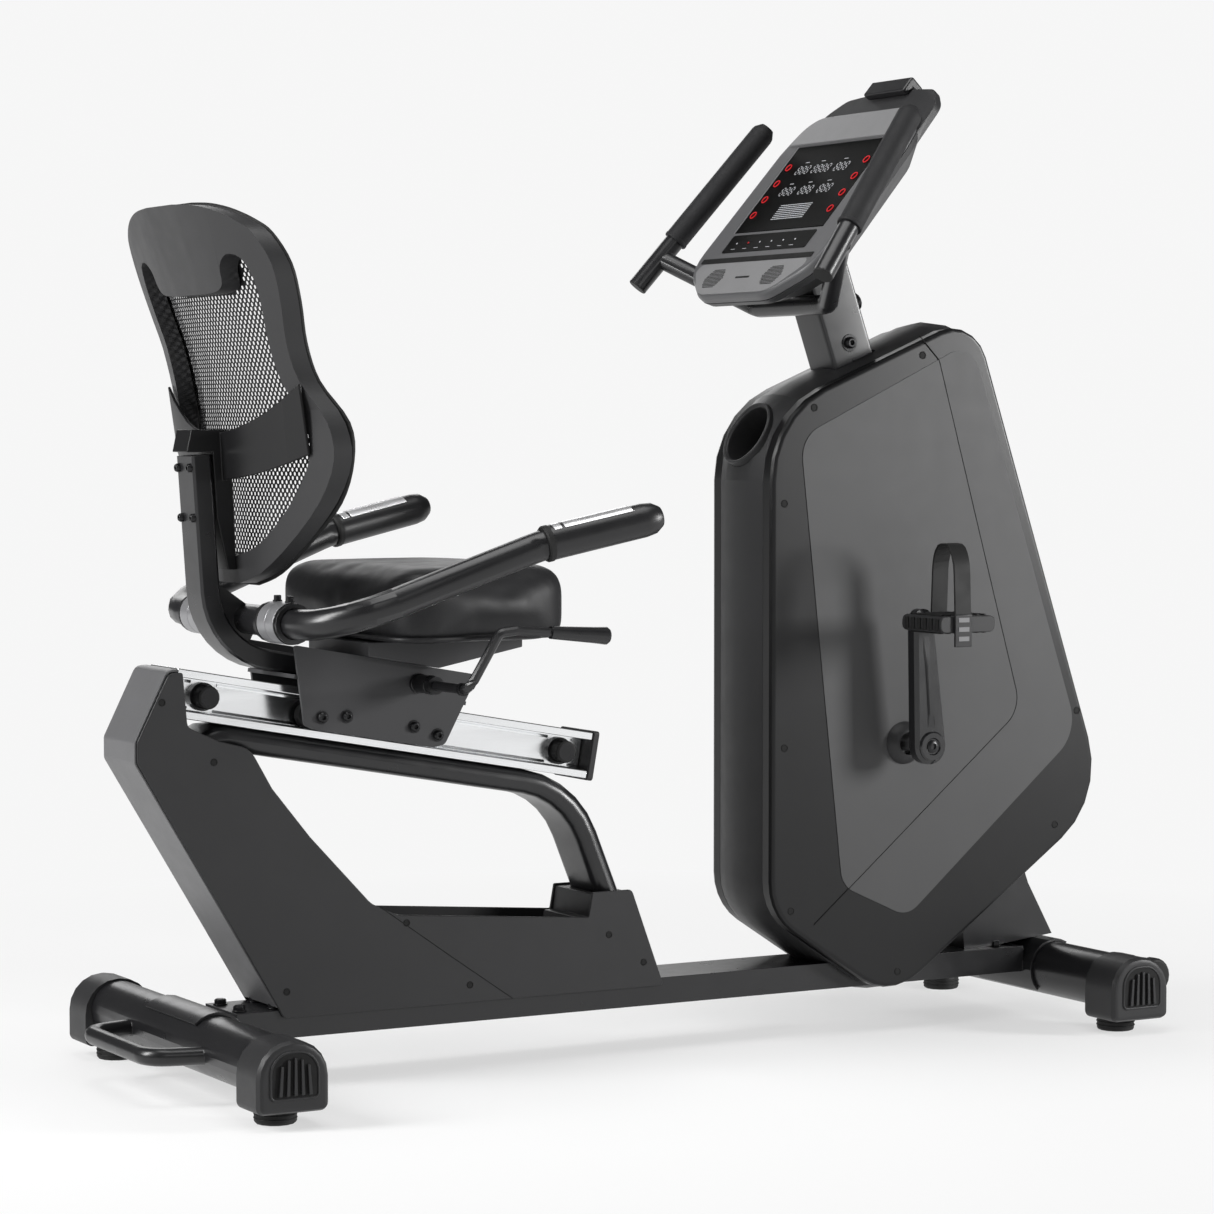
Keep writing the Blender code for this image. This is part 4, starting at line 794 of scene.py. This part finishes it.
def recess_screws(name, places, y, radius):
    """Counterbored screws, drawn as near-black discs just proud of a cover's face that paint the shade in
    their counterbores.
    """
    bm = bmesh.new()
    for x, z in places:
        turn(bm, at(x, y, z), (0, math.copysign(1, y), 0),
             [(0, -SUNK), (radius, -SUNK), (radius, 0.0004), (radius * 0.78, 0.0007),
              (radius * 0.70, 0.0001), (0, 0.0001)], 20)
    piece_of(name, bm, GROOVE_SHADOW, "frame", "charcoal_plastic")


def shroud_trim():
    """Screws and a parting line on both flanks of the rear shroud."""
    screws = ((-0.060, 0.494), (0.009, 0.417), (0.1065, 0.122), (0.275, 0.198), (0.366, 0.111),
              (0.573, 0.162), (0.626, 0.1216))
    seam = ((0.238, 0.2205), (0.341, 0.1485), (0.4285, 0.0885))
    for side, sign in SIDES:
        recess_screws(f"shroud_screws_{side}", screws, sign * SHROUD_Y, 0.0048)
        bm = bmesh.new()
        pipe(bm, [at(x, sign * SHROUD_Y, z) for x, z in seam], 0.0006, 6)
        piece_of(f"shroud_seam_{side}", bm, GROOVE_SHADOW, "frame", "charcoal_plastic")


def rail_beads():
    """Drawn beads along the rail's web, and bolts through its rubber stops."""
    bm, bolts = bmesh.new(), bmesh.new()
    # three stretches of the web, between its ends and the stops
    stretches = ((-0.038, -0.010), (0.026, 0.505), (0.541, 0.556))
    for sign in (-1, 1):
        outwards = (0, sign, 0)
        for v in (-0.0165, 0.0165):
            for ends in stretches:
                pipe(bm, [on_rail(u, v, sign * 0.0182) for u in ends], 0.0019)
        for u in (0.008, 0.5235):
            disc(bolts, on_rail(u, 0, sign * 0.0438), outwards, 0.0118, 0.0006, 28)
            disc(bolts, on_rail(u, 0, sign * 0.0180), outwards, 0.0180, 0.006, 28)
    piece_of("rail_beads", bm, ALUMINIUM, "frame", "polished_aluminium")
    piece_of("rail_stop_bolts", bolts, BOLT, "frame", "black_rubber")


# ---------------------------------------------------------------- drive casing


INSET_CORNERS = ((0.856, 0.819), (0.925, 0.207), (1.032, 0.158), (1.321, 0.401), (1.135, 0.951))
INSET_RADII = (0.045, 0.035, 0.035, 0.060, 0.035)
SEAM_CORNERS = ((1.048, 0.958), (1.081, 0.925), (1.222, 0.438), (0.880, 0.157))
COVER_SCREWS = ((0.878, 0.859), (1.054, 0.931), (1.150, 0.886), (0.831, 0.730), (0.832, 0.400),
                (0.843, 0.178), (1.017, 0.083), (1.283, 0.272), (1.320, 0.432))


def seam_line():
    """The cover's parting line, with arcs at its two bends."""
    start, upper, lower, end = [Vector(corner) for corner in SEAM_CORNERS]
    bends = corner_arc(start, upper, lower, 0.020, 8) + corner_arc(upper, lower, end, 0.045, 8)
    return [start] + bends + [end]


def casing_trim():
    """An inset panel, a parting line, screws and the axle's collar on both covers."""
    outline = rounded(INSET_CORNERS, INSET_RADII, 10)
    bore = 0.0160
    for side, sign in SIDES:
        y = sign * CASE_Y
        bm = bmesh.new()
        slab(bm, outline, on_side(y), -0.0008, PROUD, 0.0004)
        piece_of(f"casing_inset_{side}", bm, PANEL, "frame", "charcoal_plastic")
        bm = bmesh.new()
        pipe(bm, [at(p.x, y + sign * PROUD, p.y) for p in seam_line()], 0.0007, 6)
        piece_of(f"casing_seam_{side}", bm, GROOVE_SHADOW, "frame", "charcoal_plastic")
        recess_screws(f"casing_screws_{side}", COVER_SCREWS, y, 0.0055)
        bm = bmesh.new()
        turn(bm, at(CRANK_X, y, CRANK_Z), (0, sign, 0),
             [(bore, -SUNK), (0.0300, -SUNK), (0.0290, 0.003), (0.0220, 0.012), (bore, 0.014),
              (bore, -SUNK)], 36)
        piece_of(f"axle_collar_{side}", bm, PLASTIC, "frame", "charcoal_plastic")


def bottle_ring():
    """A raised lip round the bottle holder's mouth and a mat on its floor."""
    tilt, mouth = math.radians(29), at(0.8215, 0, 0.8235)
    out = Vector((-math.cos(tilt), 0, math.sin(tilt)))
    bm = bmesh.new()
    pipe(bm, circle(mouth + out * 0.0022, *across(out), 0.0450, 48), 0.0026, 10, loop=True)
    piece_of("bottle_lip", bm, PLASTIC, "frame", "charcoal_plastic")
    bm = bmesh.new()
    disc(bm, mouth - out * 0.0745, out, 0.0395, 0.0012, 36)
    piece_of("bottle_mat", bm, RUBBER, "frame", "black_rubber")


def crank_trim(side, sign):
    """Faceted ridge, hub ring and bolt on one crank, and the trim of its pedal."""
    swing = -CRANK_LEAN + (math.pi if sign > 0 else 0.0)
    along = Vector((math.sin(swing), 0, math.cos(swing)))
    beside, out = Vector((along.z, 0, -along.x)), Vector((0, sign, 0))
    hub = at(CRANK_X, sign * 0.146, CRANK_Z)
    bm = bmesh.new()
    # distance from the axle, half-width and height of the ridge
    stations = ((0.026, 0.0100, 0.0), (0.045, 0.0042, 0.0026), (0.110, 0.0034, 0.0030),
                (0.150, 0.0095, 0.0))
    sunk, crest = 0.002, 0.55
    loft(bm, [[hub + along * d + beside * a + out * b
               for a, b in ((-w, -sunk), (w, -sunk), (w * crest, h), (-w * crest, h))]
              for d, w, h in stations])
    turn(bm, hub, out, [(0, -SUNK), (0.0205, -SUNK), (0.0205, 0.0012), (0.0185, 0.0030),
                        (0.0120, 0.0030), (0.0105, 0.0012), (0, 0.0012)], 32)
    piece_of(f"crank_ridge_{side}", bm, CRANK, "cranks", "crank_paint")
    bm = bmesh.new()
    bolt(bm, hub + out * 0.0008, out, 0.0088, 0.0030)
    piece_of(f"crank_bolt_{side}", bm, BOLT, "cranks", "black_paint")
    pedal_trim(side, sign, at(CRANK_X, 0, CRANK_Z) + along * CRANK_LENGTH)


def pedal_trim(side, sign, middle):
    """Treads above and below, teeth along both edges, and the strap's buckle outside."""
    body = f"{side}_pedal"
    bm = bmesh.new()
    inner, outer = 0.164, 0.236

    def block(x, y, z):
        near, far = sorted((sign * y[0], sign * y[1]))
        corners = [middle + Vector((a, b, c)) for c in z for a, b in
                   ((x[0], near), (x[1], near), (x[1], far), (x[0], far))]
        loft(bm, [corners[:4], corners[4:]])

    for face in (-1, 1):
        for k in range(-3, 4):
            z = sorted((face * 0.0105, face * 0.0128))
            block((0.0115 * k - 0.0022, 0.0115 * k + 0.0022), (inner, outer), z)
    for x in ((-0.0462, -0.0438), (0.0438, 0.0462)):
        for k in range(6):
            y = inner + k * 0.0140
            block(x, (y, y + 0.0070), (-0.0082, 0.0082))
    piece_of(f"pedal_tread_{side}", bm, RUBBER, body, "black_rubber", bevel=0.0005)
    bm = bmesh.new()
    block((-0.0235, 0.0035), (0.2468, 0.2508), (-0.0300, 0.0135))
    piece_of(f"strap_buckle_{side}", bm, BLACK, body, "black_rubber", bevel=0.0010)
    bm = bmesh.new()
    for z in (-0.022, -0.0095, 0.003):
        block((-0.0185, -0.0015), (0.2508, 0.2514), (z, z + 0.0062))
    piece_of(f"buckle_slots_{side}", bm, BUCKLE_GREY, body, "black_rubber", bevel=0.0002)


# ---------------------------------------------------------------- console

CONSOLE_OUT = on_console(0, 0, 1) - on_console(0, 0, 0)

def console_trim():
    """Key strip, grooves in painted shade, speaker panel and the lighter brow over the display."""
    dark, gloss = bmesh.new(), bmesh.new()
    sunk = -0.0005
    slab(gloss, rounded(rectangle((-0.040, -0.008), (-0.107, 0.107)), 0.003, 3), on_console, sunk,
         0.0008, 0.0003)
    piece_of("key_strip", gloss, GLASS, "frame", "display_glass")
    # painted shade: the grooves are near-black strips laid on the face, not cut into it
    slab(dark, rounded(rectangle((-0.0585, -0.0500), (-0.142, 0.142)), 0.002, 3), on_console, sunk,
         0.0007)
    slab(dark, rounded(rectangle((-0.0900, -0.0868), (-0.018, 0.018)), 0.0014, 3), on_console, sunk,
         0.0006)
    for y in (-0.075, 0.075):
        speaker_holes(dark, y)
    piece_of("console_groove_shade", dark, GROOVE_SHADOW, "frame", "grey_plastic")
    bm = bmesh.new()
    brow = rounded([(0.162, -0.140), (0.162, 0.140), (0.2125, 0.124), (0.2125, -0.124)],
                   (0.004, 0.004, 0.044, 0.044), 10)
    slab(bm, brow, on_console, -SUNK, 0.0030, 0.0020)
    piece_of("console_brow", bm, PLATEAU, "frame", "grey_plastic", bevel=0.0008)
    bm = bmesh.new()
    lower = rounded([(-0.1170, -0.092), (-0.1170, 0.092), (-0.0600, 0.154), (-0.0600, -0.154)],
                    (0.060, 0.060, 0.010, 0.010), 10)
    slab(bm, lower, on_console, -SUNK, 0.0004, 0.0003)
    piece_of("speaker_panel", bm, PLATEAU, "frame", "grey_plastic")
    display_marks()


def speaker_holes(bm, middle):
    """Small near-black discs painting the shade of round holes, on a square grid inside a hexagon."""
    pitch, half, long, taper, middle_s = 0.0026, 0.0165, 0.0250, 0.42, -0.0880
    columns, rows = int(long / pitch), int(half / pitch)
    for i in range(-columns, columns + 1):
        for k in range(-rows, rows + 1):
            y, s = i * pitch, k * pitch
            if abs(y) / long + taper * abs(s) / half <= 1.0:
                base = on_console(middle_s + s, middle + y, 0.0002)
                disc(bm, base, CONSOLE_OUT, 0.00085, 0.0006, 6)


# The bars of a seven-bar figure, from point to point: a runs over its width, b up it
SEGMENTS = (((0.0, 1.0), (1.0, 1.0)), ((0.0, 0.0), (1.0, 0.0)), ((0.0, -1.0), (1.0, -1.0)),
            ((0.0, 0.0), (0.0, 1.0)), ((1.0, 0.0), (1.0, 1.0)), ((0.0, -1.0), (0.0, 0.0)),
            ((1.0, -1.0), (1.0, 0.0)))


def digit(bm, s, y, height, width):
    """All seven bars of one figure; y falls towards the rider's right as it is read."""
    slant, bar, gap = 0.18, 0.00036, 0.22
    for (a0, b0), (a1, b1) in SEGMENTS:
        da, db = (a1 - a0) * gap, (b1 - b0) * gap
        ends = []
        for a, b in ((a0 + da, b0 + db), (a1 - da, b1 - db)):
            up = b * height / 2
            ends.append((s + up, y - a * width - up * slant))
        (s0, y0), (s1, y1) = ends
        length = math.hypot(s1 - s0, y1 - y0)
        ns, ny = -(y1 - y0) / length * bar, (s1 - s0) / length * bar
        outline = [(s0 + ns, y0 + ny), (s1 + ns, y1 + ny), (s1 - ns, y1 - ny), (s0 - ns, y0 - ny)]
        slab(bm, outline, on_console, -0.0003, 0.0000)


def lit_bar(bm, s, y):
    """A flat lit rectangle, level with the display's window."""
    slab(bm, rectangle(s, y), on_console, -0.0003, 0.0)


def figure_groups(bm):
    """Two rows of figures, with a short bar in the place of a caption over each group."""
    pitch, height, width, bar = 0.0115, 0.0140, 0.0072, 0.0006
    for s, groups in ((0.112, ((0.068, 3), (0.027, 4), (-0.030, 3))),
                      (0.072, ((0.068, 3), (0.020, 3), (-0.028, 3)))):
        for start, count in groups:
            for k in range(count):
                digit(bm, s, start - k * pitch, height, width)
            lit_bar(bm, (s + height, s + height + bar), (start - 0.018, start - 0.008))


def display_marks():
    """Unlettered lit marks: figures, a dot field, key rings and short caption bars."""
    white, red = bmesh.new(), bmesh.new()
    figure_groups(white)
    for i in range(8):
        for k in range(30):
            s, y = 0.019 + i * 0.0036, 0.040 - k * 0.0027
            lit_bar(white, (s, s + 0.0011), (y - 0.0016, y))
    up, aside = on_console(1, 0, 0) - on_console(0, 0, 0), Vector((0, 1, 0))
    for y in (-0.098, 0.098):
        for s in (0.031, 0.060, 0.090, 0.120):
            pipe(red, circle(on_console(s, y, -0.0001), up, aside, 0.0056, 28), 0.0007, 6, loop=True)
    for k in range(6):
        y = 0.082 - k * 0.0300
        disc(red if k == 1 else white, on_console(-0.0235, y, 0.0007), CONSOLE_OUT, 0.0013, 0.0004, 10)
        slab(white, rectangle((-0.0343, -0.0339), (y - 0.005, y + 0.005)), on_console, 0.0006, 0.0011)
    piece_of("display_figures", white, WHITE_MARK, "frame", "display_glass")
    piece_of("display_rings", red, RED_MARK, "frame", "display_glass")


def grip_ends():
    """A rolled edge at the lower end of each foam sleeve, and a plug in each bar end."""
    for side, sign in SIDES:
        low, high = at(0.786, sign * 0.241, 1.030), at(0.966, sign * 0.182, 1.257)
        along = (high - low).normalized()
        bm = bmesh.new()
        turn(bm, low.lerp(high, 0.285) - along * 0.0006, along,
             [(0, 0), (0.0168, 0), (0.0175, 0.0015), (0.0175, 0.0045), (0.0168, 0.0060), (0, 0.0060)], 28)
        piece_of(f"grip_roll_{side}", bm, FOAM, "frame", "grip_foam")
        bm = bmesh.new()
        turn(bm, low - along * 0.0016, along,
             [(0, 0), (0.0128, 0), (0.0139, 0.0012), (0.0139, 0.0030), (0, 0.0030)], 26)
        piece_of(f"bar_plug_{side}", bm, RUBBER, "frame", "black_rubber")


# ---------------------------------------------------------------- build

camera()
stage()
studio()

SPECIAL = {"seat_cushion", "back_mesh"}  # replaced by the soft pieces below
EDGE = (0.0012, 2)  # bevel width and segments where BEVELS says nothing
BEVELS = {"back_frame": (0.0026, 3), "casing_right": (0.0004, 1), "casing_left": (0.0004, 1),
          "crank_right": (0.0050, 1), "crank_left": (0.0050, 1), "console_back": (0.0040, 3),
          "console_face": (0.0015, 2), "seat_post": (0.0020, 3), "media_clip": (0.0030, 3),
          "support_hoop": (0.0006, 1), "shroud_back": (0.0008, 1), "seat_lever": (0.0004, 1)}
FINISHES = {"casing_right": BAND, "casing_left": BAND, "shroud_back": SHADE, "seat_pan": GREY_PAINT,
            "side_grip_right": GRIP, "side_grip_left": GRIP, "lumbar_band": BAND,
            "media_clip": BLACK}
for node in sorted(frame["nodes"]):
    if node not in SPECIAL:
        width, count = BEVELS.get(node, EDGE)
        skin = refined(node, width, count, FINISHES.get(node))

cushion()
back_net()
back_edge()
seat_hardware()
lever_collar()
pulse_plates()
end_grilles()
foot_rings()
frame_bolts()
shroud_trim()
rail_beads()
casing_trim()
bottle_ring()
for side, sign in SIDES:
    crank_trim(side, sign)
console_trim()
grip_ends()
